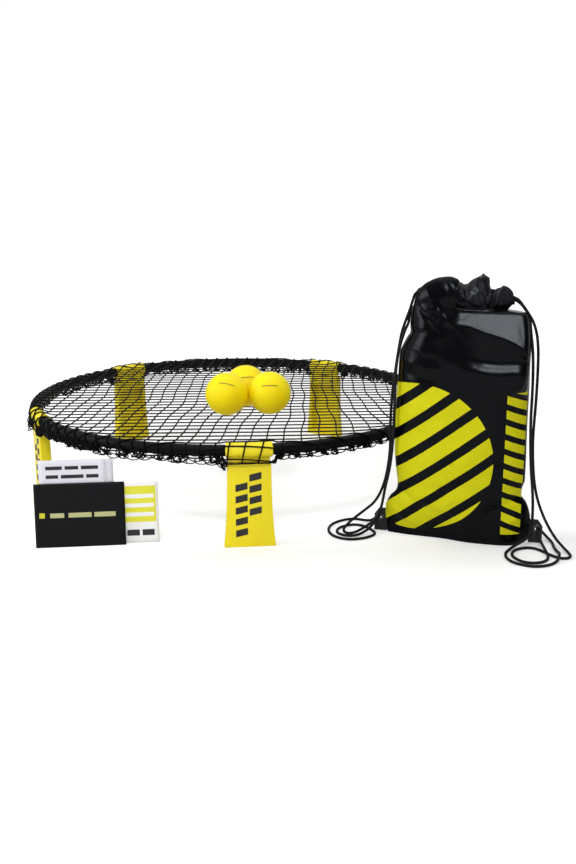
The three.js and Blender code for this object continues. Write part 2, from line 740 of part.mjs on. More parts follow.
const cards = groundGroup(cardsOut, cardsBearing);
const stickerTopY = -fitGap;
const cardTopY = stickerTopY - stickerThickness - fitGap;
addMesh(cards, 'rule_booklet', booklet(), looks.booklet);
addMesh(cards, 'sticker_sheet', leaningSheet(stickerSize, stickerSize, stickerThickness, stickerLean,
  stickerLeftX, stickerTopY), looks.sticker);
addMesh(cards, 'folder_card', leaningSheet(cardWidth, cardHeight, cardThickness, cardLean,
  cardLeftX, cardTopY), looks.card);

// The origin is on the ground in the middle of everything but the cords.
const bounds = new THREE.Box3();
set.updateMatrixWorld(true);
set.traverse((piece) => {
  if (piece.isMesh && !cords.includes(piece)) bounds.expandByObject(piece, true);
});
const middle = bounds.getCenter(new THREE.Vector3());
set.position.set(-middle.x, -middle.y, 0);

export default set;
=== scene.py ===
# Roundnet set in a white studio: ring with net on folding legs, three balls, a drawstring bag
# and paper goods. Metres, +Z up, the front is -Y.
import math

import bpy
from mathutils import Matrix, Vector


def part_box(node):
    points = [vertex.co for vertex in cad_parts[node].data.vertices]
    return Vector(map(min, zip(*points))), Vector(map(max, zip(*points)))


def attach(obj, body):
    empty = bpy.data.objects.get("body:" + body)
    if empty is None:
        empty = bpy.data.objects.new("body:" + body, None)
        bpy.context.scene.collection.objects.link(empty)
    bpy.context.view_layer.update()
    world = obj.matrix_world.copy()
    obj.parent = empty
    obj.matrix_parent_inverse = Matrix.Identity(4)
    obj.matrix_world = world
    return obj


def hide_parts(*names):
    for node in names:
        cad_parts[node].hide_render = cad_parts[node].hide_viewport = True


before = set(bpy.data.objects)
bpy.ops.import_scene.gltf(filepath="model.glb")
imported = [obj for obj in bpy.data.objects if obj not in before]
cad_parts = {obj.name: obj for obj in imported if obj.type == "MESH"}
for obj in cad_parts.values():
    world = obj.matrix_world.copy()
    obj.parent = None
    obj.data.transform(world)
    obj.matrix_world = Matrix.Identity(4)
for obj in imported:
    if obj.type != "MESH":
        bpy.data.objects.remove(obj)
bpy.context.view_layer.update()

net_low, net_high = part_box("net_bed")
RING_MIDDLE = Vector(((net_low.x + net_high.x) / 2, (net_low.y + net_high.y) / 2, 0))
CAMERA_FROM_RING = Vector((-0.11266, -2.17167, 0.67608))
CAMERA_TURN = (75.307, 0.11, -6.1745)
FILM_HEIGHT = 36
LENS = 40.228

camera_data = bpy.data.cameras.new("camera")
camera_data.sensor_fit = "VERTICAL"
camera_data.sensor_height = FILM_HEIGHT
camera_data.lens = LENS
camera = bpy.data.objects.new("camera", camera_data)
bpy.context.scene.collection.objects.link(camera)
camera.location = RING_MIDDLE + CAMERA_FROM_RING
camera.rotation_euler = [math.radians(angle) for angle in CAMERA_TURN]
bpy.context.scene.camera = camera

# ---- Drawstrings -----------------------------------------
# Two soft black polyester cords, braided round, 5 mm thick. Each comes out of the mouth's
# channel, falls down its side, lies in loops, runs through the corner eyelet and goes back up.
import bmesh
from mathutils.geometry import interpolate_bezier

BAG_OUT, BAG_BEARING, BAG_TURN = 0.6019, math.radians(-48.03), math.radians(-20)
DRAWSTRING_DIAMETER = 0.0054
BRAID_PITCH = 0.0045  # one crossing of the braid's carriers along the cord
COLOUR_A, COLOUR_B, COLOUR_OUT = 6, 7, 2  # sockets of a Mix node that mixes colours
# Routes in millimetres, in the bag's own frame on the ground.
LEFT_ROUTE = [
    (-76, -4, 473.5), (-82, -4, 474.6), (-87.4, -4, 474.3), (-92, -4, 472.3), (-95.2, -4, 468.5),
    (-97.3, -4, 461.5), (-99.9, -4, 452.5), (-103.5, -4.3, 440), (-108, -5, 427),
    (-112.5, -5.5, 413), (-117, -5.5, 397), (-120, -4.5, 379), (-122.5, -4, 362), (-125, -4, 343),
    (-127.5, -3.5, 322), (-130.5, -3, 296), (-133, -3, 258), (-134, -3, 215), (-133.5, -3, 170),
    (-139, -3, 120), (-149, -3, 84), (-162, -3, 60), (-180, -2, 42), (-199, -1, 25), (-214, -8, 11),
    (-219, -22, 4), (-210, -35, 2.8), (-196, -37, 5.5), (-183, -31, 11), (-171, -23, 18),
    (-158, -13, 26), (-151.5, -2, 30), (-153, 10, 28.5), (-162, 22, 19), (-175, 36, 7),
    (-192, 46, 2.8), (-211, 48, 2.8), (-230, 36, 2.8), (-245, 14, 2.8), (-250, -13, 2.8),
    (-243, -42, 2.8), (-224, -63, 2.8), (-200, -68, 2.8), (-178, -59, 2.8), (-162, -43, 2.8),
    (-156, -26, 2.8), (-164, -9, 2.8), (-177, 5, 2.8), (-192, 14, 2.8), (-208, 13, 2.8),
    (-223, 1, 2.8), (-231, -17, 2.8), (-229, -36, 2.8), (-216, -48, 2.8), (-200, -49, 2.8),
    (-184, -42, 5), (-167, -32, 15), (-153, -22, 34), (-146, -14, 56), (-140, -13, 92),
    (-131, -15, 140), (-126, -17, 200), (-125, -18, 265), (-124, -18, 330), (-119, -15, 370),
    (-110.5, -10.5, 402), (-105.2, -2.5, 416), (-104.2, 4, 429), (-100, 7, 441), (-93, 7, 449.5),
    (-84, 7, 455)]
RIGHT_ROUTE = [
    (74, -4, 471), (90, -4, 466), (101, -4, 454), (112, -4, 439), (121, -4, 424), (129, -4, 398),
    (133, -4, 359), (134, -4, 285), (133, -4, 205), (138, -4, 140), (146, -5, 98), (158, -10, 66),
    (172, -16, 40), (187, -23, 20), (201, -33, 8), (210, -46, 3.4), (212, -60, 2.8),
    (204, -71, 2.8), (190, -71, 2.8), (176, -60, 2.8), (163, -46, 2.8), (149, -35, 2.8),
    (134, -34, 2.8), (119, -44, 2.8), (109, -60, 2.8), (108, -78, 2.8), (115, -94, 2.8),
    (128, -106, 2.8), (145, -108, 2.8), (160, -101, 2.8), (170, -87, 2.8), (172, -70, 4.5),
    (166, -49, 9.2), (160, -31, 14), (154, -15, 24), (151.5, -3, 30), (152, 8, 29), (159, 19, 20),
    (170, 19, 9), (180, 6, 3.2), (183, -15, 3), (186, -33, 4), (190, -50, 5.5), (192, -68, 9.4),
    (190, -83, 5), (185, -95, 2.8), (176, -108, 2.8), (162, -119, 2.8), (144, -124, 2.8),
    (124, -120, 2.8), (108, -110, 2.8), (98, -92, 2.8), (96, -72, 2.8), (101, -54, 3),
    (111, -39, 6.5), (123, -30, 12), (134, -24, 20), (140, -18, 34), (141, -16, 56), (139, -16, 98),
    (132, -18, 160), (127, -18, 235), (126, -18, 315), (123, -16, 370), (118, -11, 404),
    (113, 4, 432), (103, 6, 449), (90, 6, 461), (74, 6, 466)]


def polar(reach, bearing, height=0.0):
    """A step outward at a bearing in radians, and up."""
    return Vector((reach * math.cos(bearing), reach * math.sin(bearing), height))


def smooth_route(points, steps):
    """A smooth line through the points, with that many steps between each two."""
    line = []
    for i in range(len(points) - 1):
        start, end = points[i], points[i + 1]
        before = points[max(i - 1, 0)]
        after = points[min(i + 2, len(points) - 1)]
        reach = (end - start).length / 3
        leave = start + (end - before).normalized() * reach
        arrive = end - (after - start).normalized() * reach
        line += interpolate_bezier(start, leave, arrive, end, steps + 1)[:-1]
    return line + [points[-1]]


def lay_faces(shape, rows, flat):
    """Smooth faces between rows of vertices. In flat is the UV place of each vertex of each row."""
    uv = shape.loops.layers.uv.verify()
    for i in range(len(rows) - 1):
        for j in range(len(rows[i]) - 1):
            corners = [(i, j), (i, j + 1), (i + 1, j + 1), (i + 1, j)]
            face = shape.faces.new([rows[a][b] for a, b in corners])
            face.smooth = True
            for loop, (a, b) in zip(face.loops, corners):
                loop[uv].uv = flat[a][b]


def sweep_cord(shape, points, radius, sides):
    """Adds a round cord to a bmesh. UV is the share around it, and the length in metres."""
    across = (points[1] - points[0]).normalized().orthogonal().normalized()
    rows, flat, run = [], [], 0.0
    for i, point in enumerate(points):
        forward = (points[min(i + 1, len(points) - 1)] - points[max(i - 1, 0)]).normalized()
        across = (across - forward * across.dot(forward)).normalized()
        up = forward.cross(across)
        if i:
            run += (point - points[i - 1]).length
        turns = [2 * math.pi * k / sides for k in range(sides)]
        ring = [shape.verts.new(point + radius * (across * math.cos(a) + up * math.sin(a)))
                for a in turns]
        rows.append(ring + ring[:1])
        flat.append([(k / sides, run) for k in range(sides + 1)])
    lay_faces(shape, rows, flat)
    shape.faces.new(rows[0][:-1][::-1])
    shape.faces.new(rows[-1][:-1])


def finish_piece(name, shape, material, turn_out=False):
    """Makes a piece of a bmesh, at the origin, with one material."""
    if turn_out:
        bmesh.ops.recalc_face_normals(shape, faces=shape.faces)
    mesh = bpy.data.meshes.new(name)
    shape.to_mesh(mesh)
    shape.free()
    piece = bpy.data.objects.new(name, mesh)
    bpy.context.scene.collection.objects.link(piece)
    mesh.materials.append(material)
    return piece


def linear(code):
    """The linear colour of an sRGB hex code."""
    parts = [int(code[i:i + 2], 16) / 255 for i in (1, 3, 5)]
    return [c / 12.92 if c <= 0.04045 else ((c + 0.055) / 1.055) ** 2.4 for c in parts] + [1]


def plug(tree, node, inputs):
    """Sets a node's inputs: each is a value, or another node's output that is linked to it."""
    for key, value in inputs.items():
        if isinstance(value, bpy.types.NodeSocket):
            tree.links.new(value, node.inputs[key])
        else:
            node.inputs[key].default_value = value


def add_node(tree, kind, inputs=(), output=0, **settings):
    """Adds a shader node, its inputs by name or in order, and gives one of its outputs."""
    node = tree.nodes.new("ShaderNode" + kind)
    for key, value in settings.items():
        setattr(node, key, value)
    plug(tree, node, inputs if isinstance(inputs, dict) else dict(enumerate(inputs)))
    return node.outputs[output]


def new_material(name):
    """An empty material and its node tree."""
    material = bpy.data.materials.new(name)
    material.use_nodes = True
    return material, material.node_tree


def mottled_tone(tree, scale, detail, dark, light):
    """A colour that drifts between two; gives it, the drift and the coordinates it reads."""
    place = add_node(tree, "TexCoord", output="Object")
    cloud = add_node(tree, "TexNoise", {"Vector": place, "Scale": scale, "Detail": detail})
    colours = {0: cloud, COLOUR_A: linear(dark), COLOUR_B: linear(light)}
    return add_node(tree, "Mix", colours, COLOUR_OUT, data_type="RGBA"), cloud, place


def finish_look(tree, values, height=None, strength=0.0, depth=0.0):
    """Sets a surface's inputs, with a bump where its height is given."""
    if height is not None:
        bump = {"Height": height, "Strength": strength, "Distance": depth}
        values["Normal"] = add_node(tree, "Bump", bump)
    plug(tree, tree.nodes["Principled BSDF"], values)


def uv_places(tree):
    """The two coordinates of a piece's own UV map."""
    split = add_node(tree, "SeparateXYZ", [add_node(tree, "UVMap", output="UV")]).node
    return split.outputs["X"], split.outputs["Y"]


def winding(tree, pitch, strands):
    """A wave from -1 to 1 that winds around a cord, with its strands side by side."""
    around, along = uv_places(tree)
    run = add_node(tree, "Math", [along, 2 * math.pi / pitch], operation="MULTIPLY")
    wound = add_node(tree, "Math", [around, 2 * math.pi * strands, run], operation="MULTIPLY_ADD")
    return add_node(tree, "Math", [wound], operation="SINE")


BAG_PLACE = (Matrix.Translation(RING_MIDDLE + polar(BAG_OUT, BAG_BEARING))
             @ Matrix.Rotation(BAG_TURN, 4, "Z"))
# Braided polyester: matt black with a soft fibre sheen, its carriers crossing slantwise.
drawstring_look, tree = new_material("braided_polyester")
braid = add_node(tree, "Math", [winding(tree, BRAID_PITCH, strands) for strands in (4, -4)],
                 operation="MULTIPLY")
raised = add_node(tree, "MapRange", {"Value": braid, "From Min": -1.0})
tone = add_node(tree, "Mix", {0: raised, COLOUR_A: linear("#040405"), COLOUR_B: linear("#0f0f11")},
                COLOUR_OUT, data_type="RGBA")
finish_look(tree, {"Base Color": tone, "Roughness": 0.7, "Specular IOR Level": 0.25},
            braid, 0.6, 0.0004)

for side, route in (("left", LEFT_ROUTE), ("right", RIGHT_ROUTE)):
    line = smooth_route([BAG_PLACE @ (Vector(point) / 1000) for point in route], 4)
    shape = bmesh.new()
    sweep_cord(shape, line, DRAWSTRING_DIAMETER / 2, 12)
    drawstring = finish_piece("drawstring_cord_" + side, shape, drawstring_look)
    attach(drawstring, "bag")
    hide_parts("drawstring_" + side)

# ---- Ring tubes ------------------------------------------
# Five curved tubes of black injection-moulded ABS, 22 mm across, that plug into the collars.
# Small hooks are moulded on below, and the cord at the edge of the net catches on them.
LEG_COUNT = 5
RING_RADIUS = 0.446
RING_HEIGHT = 0.1885
TUBE_RADIUS = 0.011
TUBE_WALL = 0.0022
TUBE_SIDES = 32
TUBE_STEPS = 48
SECTOR = 2 * math.pi / LEG_COUNT
FRONT = -math.pi / 2
LEG_BEARINGS = [FRONT + k * SECTOR for k in range(LEG_COUNT)]
TUBE_END_GAP = 0.002  # to the web in the middle of a collar
HOOK_COUNT = 6
COLLAR_WIDTH = 0.086
HOOK_END_SPACE = 0.014
HOOK_WIDTH = 0.008
HOOK_PROFILE = [(-0.2, -10.4), (3.0, -13.0), (9.6, -18.4), (13.9, -17.0), (15.4, -13.6),
                (13.7, -12.6), (11.8, -14.8), (9.8, -15.2), (5.0, -11.4),
                (4.2, -9.0)]  # mm from the middle of the tube


def on_ring(outward, up, bearing, aside=0.0):
    """A place from the middle of the tube: outward and up at a bearing, and aside along X."""
    place = RING_MIDDLE + polar(RING_RADIUS + outward, bearing, RING_HEIGHT + up)
    return place + Vector((aside, 0, 0))


def select_only(piece):
    """Makes one piece the only selected and the active object."""
    for other in bpy.context.selected_objects:
        other.select_set(False)
    piece.select_set(True)
    bpy.context.view_layer.objects.active = piece


def apply_modifier(piece, kind, **settings):
    """Adds a modifier with its settings and applies it."""
    select_only(piece)
    modifier = piece.modifiers.new(kind.lower(), kind)
    for key, value in settings.items():
        setattr(modifier, key, value)
    bpy.ops.object.modifier_apply(modifier=modifier.name)


def place_mesh(piece):
    """Moves a piece's place, turn and size into its mesh."""
    select_only(piece)
    bpy.ops.object.transform_apply(location=True, rotation=True, scale=True)


def edit_all(piece):
    """Goes into edit mode with everything selected."""
    select_only(piece)
    bpy.ops.object.mode_set(mode="EDIT")
    bpy.ops.mesh.select_all(action="SELECT")


def leave_edit():
    """Goes back to object mode."""
    bpy.ops.object.mode_set(mode="OBJECT")


def add_shape(name, add, **settings):
    """Adds a primitive with its operator, and moves its place into its mesh."""
    bpy.ops.object.select_all(action="DESELECT")
    add(**settings)
    piece = bpy.context.object
    piece.name = name
    place_mesh(piece)
    return piece


def spun_tube(name, radius, sides, start, end, steps, wall):
    """A tube along the ring between two bearings: a circle, spun around the ring's middle."""
    tube = add_shape(name, bpy.ops.mesh.primitive_circle_add, vertices=sides, radius=radius,
                     location=on_ring(0, 0, start), rotation=(math.pi / 2, 0, start))
    edit_all(tube)
    bpy.ops.mesh.spin(steps=steps, angle=start - end, center=RING_MIDDLE, axis=(0, 0, 1))
    bpy.ops.mesh.select_all(action="SELECT")
    bpy.ops.mesh.remove_doubles(threshold=1e-6)
    bpy.ops.mesh.normals_make_consistent(inside=False)
    leave_edit()
    middle = on_ring(0, 0, (start + end) / 2)
    nearest = min(tube.data.polygons, key=lambda face: (face.center - middle).length)
    if (nearest.center - middle).dot(nearest.normal) < 0:
        tube.data.flip_normals()
    apply_modifier(tube, "SOLIDIFY", thickness=wall, offset=-1)
    return tube


def skin(shape, rings, capped=True, smooth=False):
    """Faces from each ring of vertices to the next, and over both ends."""
    if capped:
        shape.faces.new(rings[0])
        shape.faces.new(rings[-1][::-1])
    for one, two in zip(rings, rings[1:]):
        for j in range(len(one)):
            nxt = (j + 1) % len(one)
            shape.faces.new([one[nxt], one[j], two[j], two[nxt]]).smooth = smooth


def round_edges(piece, width, segments, angle=30):
    """Rounds the edges that are sharper than an angle."""
    apply_modifier(piece, "BEVEL", width=width, segments=segments, limit_method="ANGLE",
                   angle_limit=math.radians(angle))


def join_pieces(name, pieces):
    """Joins pieces into one object of that name."""
    select_only(pieces[0])
    for piece in pieces:
        piece.select_set(True)
    bpy.ops.object.join()
    pieces[0].name = name
    return pieces[0]


def set_look(piece, look, angle=None):
    """Gives a piece its only material, and smooth shading up to an angle where one is given."""
    piece.data.materials.clear()
    piece.data.materials.append(look)
    if angle:
        select_only(piece)
        bpy.ops.object.shade_smooth_by_angle(angle=math.radians(angle))


def moulded_look(name, dark, light, roughness, grain, gloss=0.36):
    """Injection-moulded plastic: spark-eroded mould grain, and a tone that varies a little."""
    material, tree = new_material(name)
    tone, cloud, place = mottled_tone(tree, 28.0, 3.0, dark, light)
    fine = add_node(tree, "TexNoise", {"Vector": place, "Scale": 1 / grain, "Detail": 2.0})
    worn = add_node(tree, "MapRange", {
        "Value": cloud, "To Min": roughness - 0.06, "To Max": roughness + 0.08})
    finish_look(tree, {"Base Color": tone, "Roughness": worn, "Specular IOR Level": gloss},
                fine, 0.25, 0.0002)
    return material


# Black ABS straight from the mould: satin, with a grain that is drawn 1.5 mm coarse to show.
tube_look = moulded_look("moulded_black_abs", "#010102", "#050506", 0.46, 0.0015, 0.1)
first_hook = (COLLAR_WIDTH / 2 + HOOK_END_SPACE) / RING_RADIUS
hook_pitch = (SECTOR - 2 * first_hook) / (HOOK_COUNT - 1)
half = HOOK_WIDTH / 2 / RING_RADIUS
end_gap = TUBE_END_GAP / RING_RADIUS
for k, leg_bearing in enumerate(LEG_BEARINGS):
    tube = spun_tube("tube", TUBE_RADIUS, TUBE_SIDES, leg_bearing + end_gap,
                     leg_bearing + SECTOR - end_gap, TUBE_STEPS, TUBE_WALL)
    shape = bmesh.new()
    for i in range(HOOK_COUNT):
        bearing = leg_bearing + first_hook + i * hook_pitch
        skin(shape, [[shape.verts.new(on_ring(x / 1000, z / 1000, bearing + turn))
                      for x, z in HOOK_PROFILE] for turn in (-half, half)])
    hooks = finish_piece("hooks", shape, tube_look, turn_out=True)
    round_edges(hooks, 0.0006, 2)
    tube = join_pieces(f"ring_tube_{k + 1}", [tube, hooks])
    set_look(tube, tube_look, 40)
    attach(tube, "ring")
    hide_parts(f"rim_arc_{k + 1}")

# ---- Collars ---------------------------------------------
# Yellow moulded sleeves, one over each joint of two ring tubes. Below the sleeve a square neck
# covers the head of the leg, and two round-ended ears reach down to the steel hinge pin.
COLLAR_RADIUS = 0.0145
COLLAR_SIDES = 40
COLLAR_STEPS = 12
LEG_FORWARD = 0.0085
HINGE_DROP = 0.0325
HINGE_BACK = 0.0145
NECK_WIDTH = 0.078
NECK_DEPTH = 0.015
NECK_INSET = 0.005
NECK_TOP, NECK_BOTTOM = -0.0113, -0.0218  # from the middle of the tube
EAR_SPACING = 0.048
EAR_THICKNESS = 0.009
EAR_RADIUS = 0.0065
PIN_HOLE_RADIUS = 0.0033
HINGE_OUT = LEG_FORWARD - HINGE_BACK
SLEEVE_CLEARANCE = 0.0003


def front_box(name, x_low, x_high, out_low, out_high, up_low, up_high):
    """A box at the front leg: across, outward and up from the middle of the ring tube."""
    low = on_ring(out_high, up_low, FRONT, x_low)
    high = on_ring(out_low, up_high, FRONT, x_high)
    return add_shape(name, bpy.ops.mesh.primitive_cube_add, size=1, location=(low + high) / 2,
                     scale=high - low)


def cross_rod(name, radius, length, outward, up, x=0.0):
    """A rod across the front leg, at a place from the middle of the ring tube."""
    return add_shape(name, bpy.ops.mesh.primitive_cylinder_add, vertices=32, radius=radius,
                     depth=length, location=on_ring(outward, up, FRONT, x),
                     rotation=(0, math.pi / 2, 0))


def combine(piece, other, operation="DIFFERENCE"):
    """Cuts one solid out of another, or unites them, and removes the other one."""
    apply_modifier(piece, "BOOLEAN", operation=operation, solver="EXACT", object=other)
    bpy.data.objects.remove(other)


def turned_copy(piece, name, turn):
    """A copy with its own mesh, turned about the middle of the ring."""
    copy = piece.copy()
    copy.data = piece.data.copy()
    copy.name = name
    bpy.context.scene.collection.objects.link(copy)
    copy.data.transform(Matrix.Translation(RING_MIDDLE) @ Matrix.Rotation(turn, 4, "Z")
                        @ Matrix.Translation(-RING_MIDDLE))
    return copy


half_turn = COLLAR_WIDTH / 2 / RING_RADIUS
sleeve = spun_tube("sleeve", COLLAR_RADIUS, COLLAR_SIDES, FRONT - half_turn, FRONT + half_turn,
                   COLLAR_STEPS, COLLAR_RADIUS - TUBE_RADIUS - SLEEVE_CLEARANCE)
round_edges(sleeve, 0.0011, 3, 50)
neck_front = LEG_FORWARD - NECK_INSET
neck = front_box("neck", -NECK_WIDTH / 2, NECK_WIDTH / 2, neck_front - NECK_DEPTH, neck_front,
                 NECK_BOTTOM, NECK_TOP)
round_edges(neck, 0.0018, 3)
ears = []
half = EAR_THICKNESS / 2
for x in (-EAR_SPACING / 2, EAR_SPACING / 2):
    ear = front_box("ear", x - half, x + half, HINGE_OUT - EAR_RADIUS, HINGE_OUT + EAR_RADIUS,
                    -HINGE_DROP, NECK_TOP - 0.001)
    knuckle = cross_rod("knuckle", EAR_RADIUS, EAR_THICKNESS, HINGE_OUT, -HINGE_DROP, x)
    combine(ear, knuckle, "UNION")
    combine(ear, cross_rod("pin_hole", PIN_HOLE_RADIUS, 0.02, HINGE_OUT, -HINGE_DROP, x))
    round_edges(ear, 0.0005, 2, 50)
    ears.append(ear)

# Yellow ABS, moulded with a fine grain: an even lemon colour with a soft gloss.
leg_look = moulded_look("moulded_yellow_abs", "#e8d20a", "#f1df14", 0.44, 0.0012)
collar = join_pieces("collar", [sleeve, neck, *ears])
set_look(collar, leg_look, 35)
# The pin is bright drawn steel, pressed through the ears.
pin_look, tree = new_material("drawn_steel")
streak = add_node(tree, "TexNoise", {"Vector": add_node(tree, "TexCoord", output="Object"),
                                     "Scale": 400.0, "Detail": 2.0})
finish_look(tree, {"Base Color": linear("#9a9da1"), "Metallic": 1,
                   "Roughness": add_node(tree, "MapRange", {
                       "Value": streak, "To Min": 0.25, "To Max": 0.45})})
for k in range(LEG_COUNT):
    piece = turned_copy(collar, f"collar_{k + 1}", k * SECTOR)
    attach(piece, "ring")
    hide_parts(f"leg_collar_{k + 1}")
    set_look(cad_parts[f"hinge_pin_{k + 1}"], pin_look)
bpy.data.objects.remove(collar)

# ---- Legs ------------------------------------------------
# Flared panels of the same yellow plastic, moulded as hollow shells that are open to the back.
# Two slots in the head take the ears, and a few plain slanted bars are pad-printed in black.
LEG_TOP_WIDTH = 0.082
LEG_FOOT_WIDTH = 0.098
LEG_FLARE = 0.070
LEG_THICKNESS = 0.021
LEG_HEAD = 0.1635
LEG_WALL = 0.0035
LEG_SOLE = 0.012
LEG_HEAD_BLOCK = 0.0245
LEG_ROWS = 14
SLOT_GAP = 0.0005
CUT_PAST = 0.001  # how far a cutter reaches out of what it cuts
PRINT_DEPTH = 0.00015
BAR_COLUMNS = [(-0.0268, 0.020, 5), (-0.0005, 0.062, 4)]  # left edge, lowest, bars
BAR_WIDTH = 0.0228
BAR_HEIGHT = 0.0135
BAR_PITCH = 0.0225
BAR_SLANT = 0.005


def leg_half_width(height):
    """Half the leg's width: one quadratic curve from the foot to the head, as moulded."""
    a = LEG_HEAD - 2 * LEG_FLARE
    t = (-LEG_FLARE + math.sqrt(LEG_FLARE ** 2 + a * height)) / a
    foot, top = LEG_FOOT_WIDTH / 2, LEG_TOP_WIDTH / 2
    return (1 - t) ** 2 * foot + 2 * t * (1 - t) * top + t * t * top


outer = LEG_FORWARD
inner = LEG_FORWARD - LEG_THICKNESS
leg = front_box("leg", -0.5, 0.5, inner, outer, -RING_HEIGHT, LEG_HEAD - RING_HEIGHT)
edit_all(leg)
for row in range(1, LEG_ROWS):
    bpy.ops.mesh.select_all(action="SELECT")
    bpy.ops.mesh.bisect(plane_co=(0, 0, LEG_HEAD * row / LEG_ROWS), plane_no=(0, 0, 1))
leave_edit()
for vertex in leg.data.vertices:
    side = math.copysign(1, vertex.co.x - RING_MIDDLE.x)
    vertex.co.x = RING_MIDDLE.x + side * leg_half_width(vertex.co.z)
half = LEG_TOP_WIDTH / 2 - 2 * LEG_WALL
pocket = front_box("pocket", -half, half, inner - CUT_PAST, outer - LEG_WALL,
                   LEG_SOLE - RING_HEIGHT, LEG_HEAD - LEG_HEAD_BLOCK - RING_HEIGHT)
round_edges(pocket, 0.003, 3)
combine(leg, pocket)
half = EAR_THICKNESS / 2 + SLOT_GAP
for x in (-EAR_SPACING / 2, EAR_SPACING / 2):
    room = EAR_RADIUS + SLOT_GAP
    combine(leg, front_box("slot", x - half, x + half, inner - CUT_PAST, HINGE_OUT + room,
                           -HINGE_DROP - room, 0))
combine(leg, cross_rod("pin_hole", PIN_HOLE_RADIUS, 0.2, HINGE_OUT, -HINGE_DROP))
round_edges(leg, 0.0014, 3, 40)
set_look(leg, leg_look, 35)

# The print: two columns of slanted bars, thin ink on the outer face.
ink_look, tree = new_material("pad_printed_ink")
tone, mottle, _ = mottled_tone(tree, 260.0, 2.0, "#0f0f10", "#1c1c1c")
finish_look(tree, {"Base Color": tone,
                   "Roughness": add_node(tree, "MapRange", {
                       "Value": mottle, "To Min": 0.42, "To Max": 0.6})})
shape = bmesh.new()
for left, lowest, count in BAR_COLUMNS:
    right = left + BAR_WIDTH
    for i in range(count):
        z = lowest + i * BAR_PITCH - RING_HEIGHT
        corners = [(left, z), (right, z + BAR_SLANT), (right, z + BAR_SLANT + BAR_HEIGHT),
                   (left, z + BAR_HEIGHT)]
        skin(shape, [[shape.verts.new(on_ring(outer + deep, up, FRONT, x)) for x, up in corners]
                     for deep in (PRINT_DEPTH, -PRINT_DEPTH)])
bars = finish_piece("bars", shape, ink_look, turn_out=True)
for k in range(LEG_COUNT):
    body = f"leg_{k + 1}"
    piece = turned_copy(leg, f"leg_shell_{k + 1}", k * SECTOR)
    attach(piece, body)
    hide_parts(body)
    piece = turned_copy(bars, f"leg_print_{k + 1}", k * SECTOR)
    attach(piece, body)
bpy.data.objects.remove(leg)
bpy.data.objects.remove(bars)

# ---- Net -------------------------------------------------
# Black knotted nylon net with square meshes of 27 mm. It is pulled flat over the ring, wraps
# around tubes and collars, and its edge cord hangs in the hooks, with loose meshes tangled below.
import random

from mathutils import noise

MESH_PITCH = 0.027
STRAND_RADIUS = 0.00145
NET_TURN = math.radians(-4)
BED_EDGE = 0.424  # flat part of the net, from the ring's middle
WRAP_START = math.radians(115)
WRAP_END = math.radians(-50)
TUBE_WRAP = TUBE_RADIUS + STRAND_RADIUS + 0.0003
COLLAR_WRAP = COLLAR_RADIUS + STRAND_RADIUS + 0.0003
NECK_HEM = 0.1665  # height of the net's edge in front of a neck
SIDE_BLEND = 0.010  # from a collar's wrap to a tube's, along the ring
BED_HEIGHT = net_high.z - STRAND_RADIUS
BED_PLACE = (BED_EDGE - RING_RADIUS, BED_HEIGHT - RING_HEIGHT)  # where the net leaves its flat part
WRAP_STEPS = 12
NET_SPAN = BED_EDGE + 0.12  # half the flat net that is drawn, past its edge on every side
SAMPLES = 6  # for each mesh of a strand
KNOT_RADIUS = 0.0021
TWIST_PITCH = 0.004
LEFT_SWING = [(-0.50, -0.066), (-0.30, -0.037), (-0.15, -0.013), (-0.03, -0.001), (0.10, -0.001),
              (0.20, 0.006), (0.30, 0.022), (0.50, 0.062)]  # along the net, sideways
RIGHT_SWING = [(-0.50, 0.022), (-0.30, 0.006), (-0.15, -0.012), (0.0, -0.022), (0.15, -0.018),
               (0.30, 0.006), (0.50, 0.040)]


def blend_in(low, high, value):
    """0 below low, 1 above high, and smooth between."""
    t = min(max((value - low) / (high - low), 0), 1)
    return t * t * (3 - 2 * t)


def between(one, other, share):
    """A place at a share of the way between two."""
    return [a + (b - a) * share for a, b in zip(one, other)]


def nearest_turn(bearing, others):
    """The angle from a bearing to the nearest of some others."""
    return min(abs(math.remainder(bearing - other, 2 * math.pi)) for other in others)


def collar_share(bearing):
    """1 on a collar, 0 on a tube, and smooth between them."""
    past = nearest_turn(bearing, LEG_BEARINGS) * RING_RADIUS - COLLAR_WIDTH / 2 - 0.001
    return 1 - blend_in(0, SIDE_BLEND, past)


def wrap_line(reach, straight_down):
    """The net's line from the bed over a tube, as (outward, up) steps with their lengths."""
    line = [BED_PLACE]
    last = 0 if straight_down else WRAP_END
    for i in range(WRAP_STEPS + 1):
        angle = WRAP_START + (last - WRAP_START) * i / WRAP_STEPS
        line.append((reach * math.cos(angle), reach * math.sin(angle)))
    if straight_down:
        line.append((reach - 0.0015, NECK_HEM - RING_HEIGHT))
    lengths = [0.0]
    for one, two in zip(line, line[1:]):
        lengths.append(lengths[-1] + math.dist(one, two))
    return line, lengths


TUBE_LINE = wrap_line(TUBE_WRAP, False)
COLLAR_LINE = wrap_line(COLLAR_WRAP, True)


def along_line(line_and_lengths, share):
    """The (outward, up) place at a share of a wrap line's length."""
    line, lengths = line_and_lengths
    want = share * lengths[-1]
    i = next((k for k in range(len(line) - 2) if want <= lengths[k + 1]), len(line) - 2)
    return between(line[i], line[i + 1], (want - lengths[i]) / (lengths[i + 1] - lengths[i]))


def net_edge_place(bearing, share=1.0):
    """The net's (outward, up) place at a share of its way over the ring, or at its edge."""
    return between(along_line(TUBE_LINE, share), along_line(COLLAR_LINE, share),
                   collar_share(bearing))


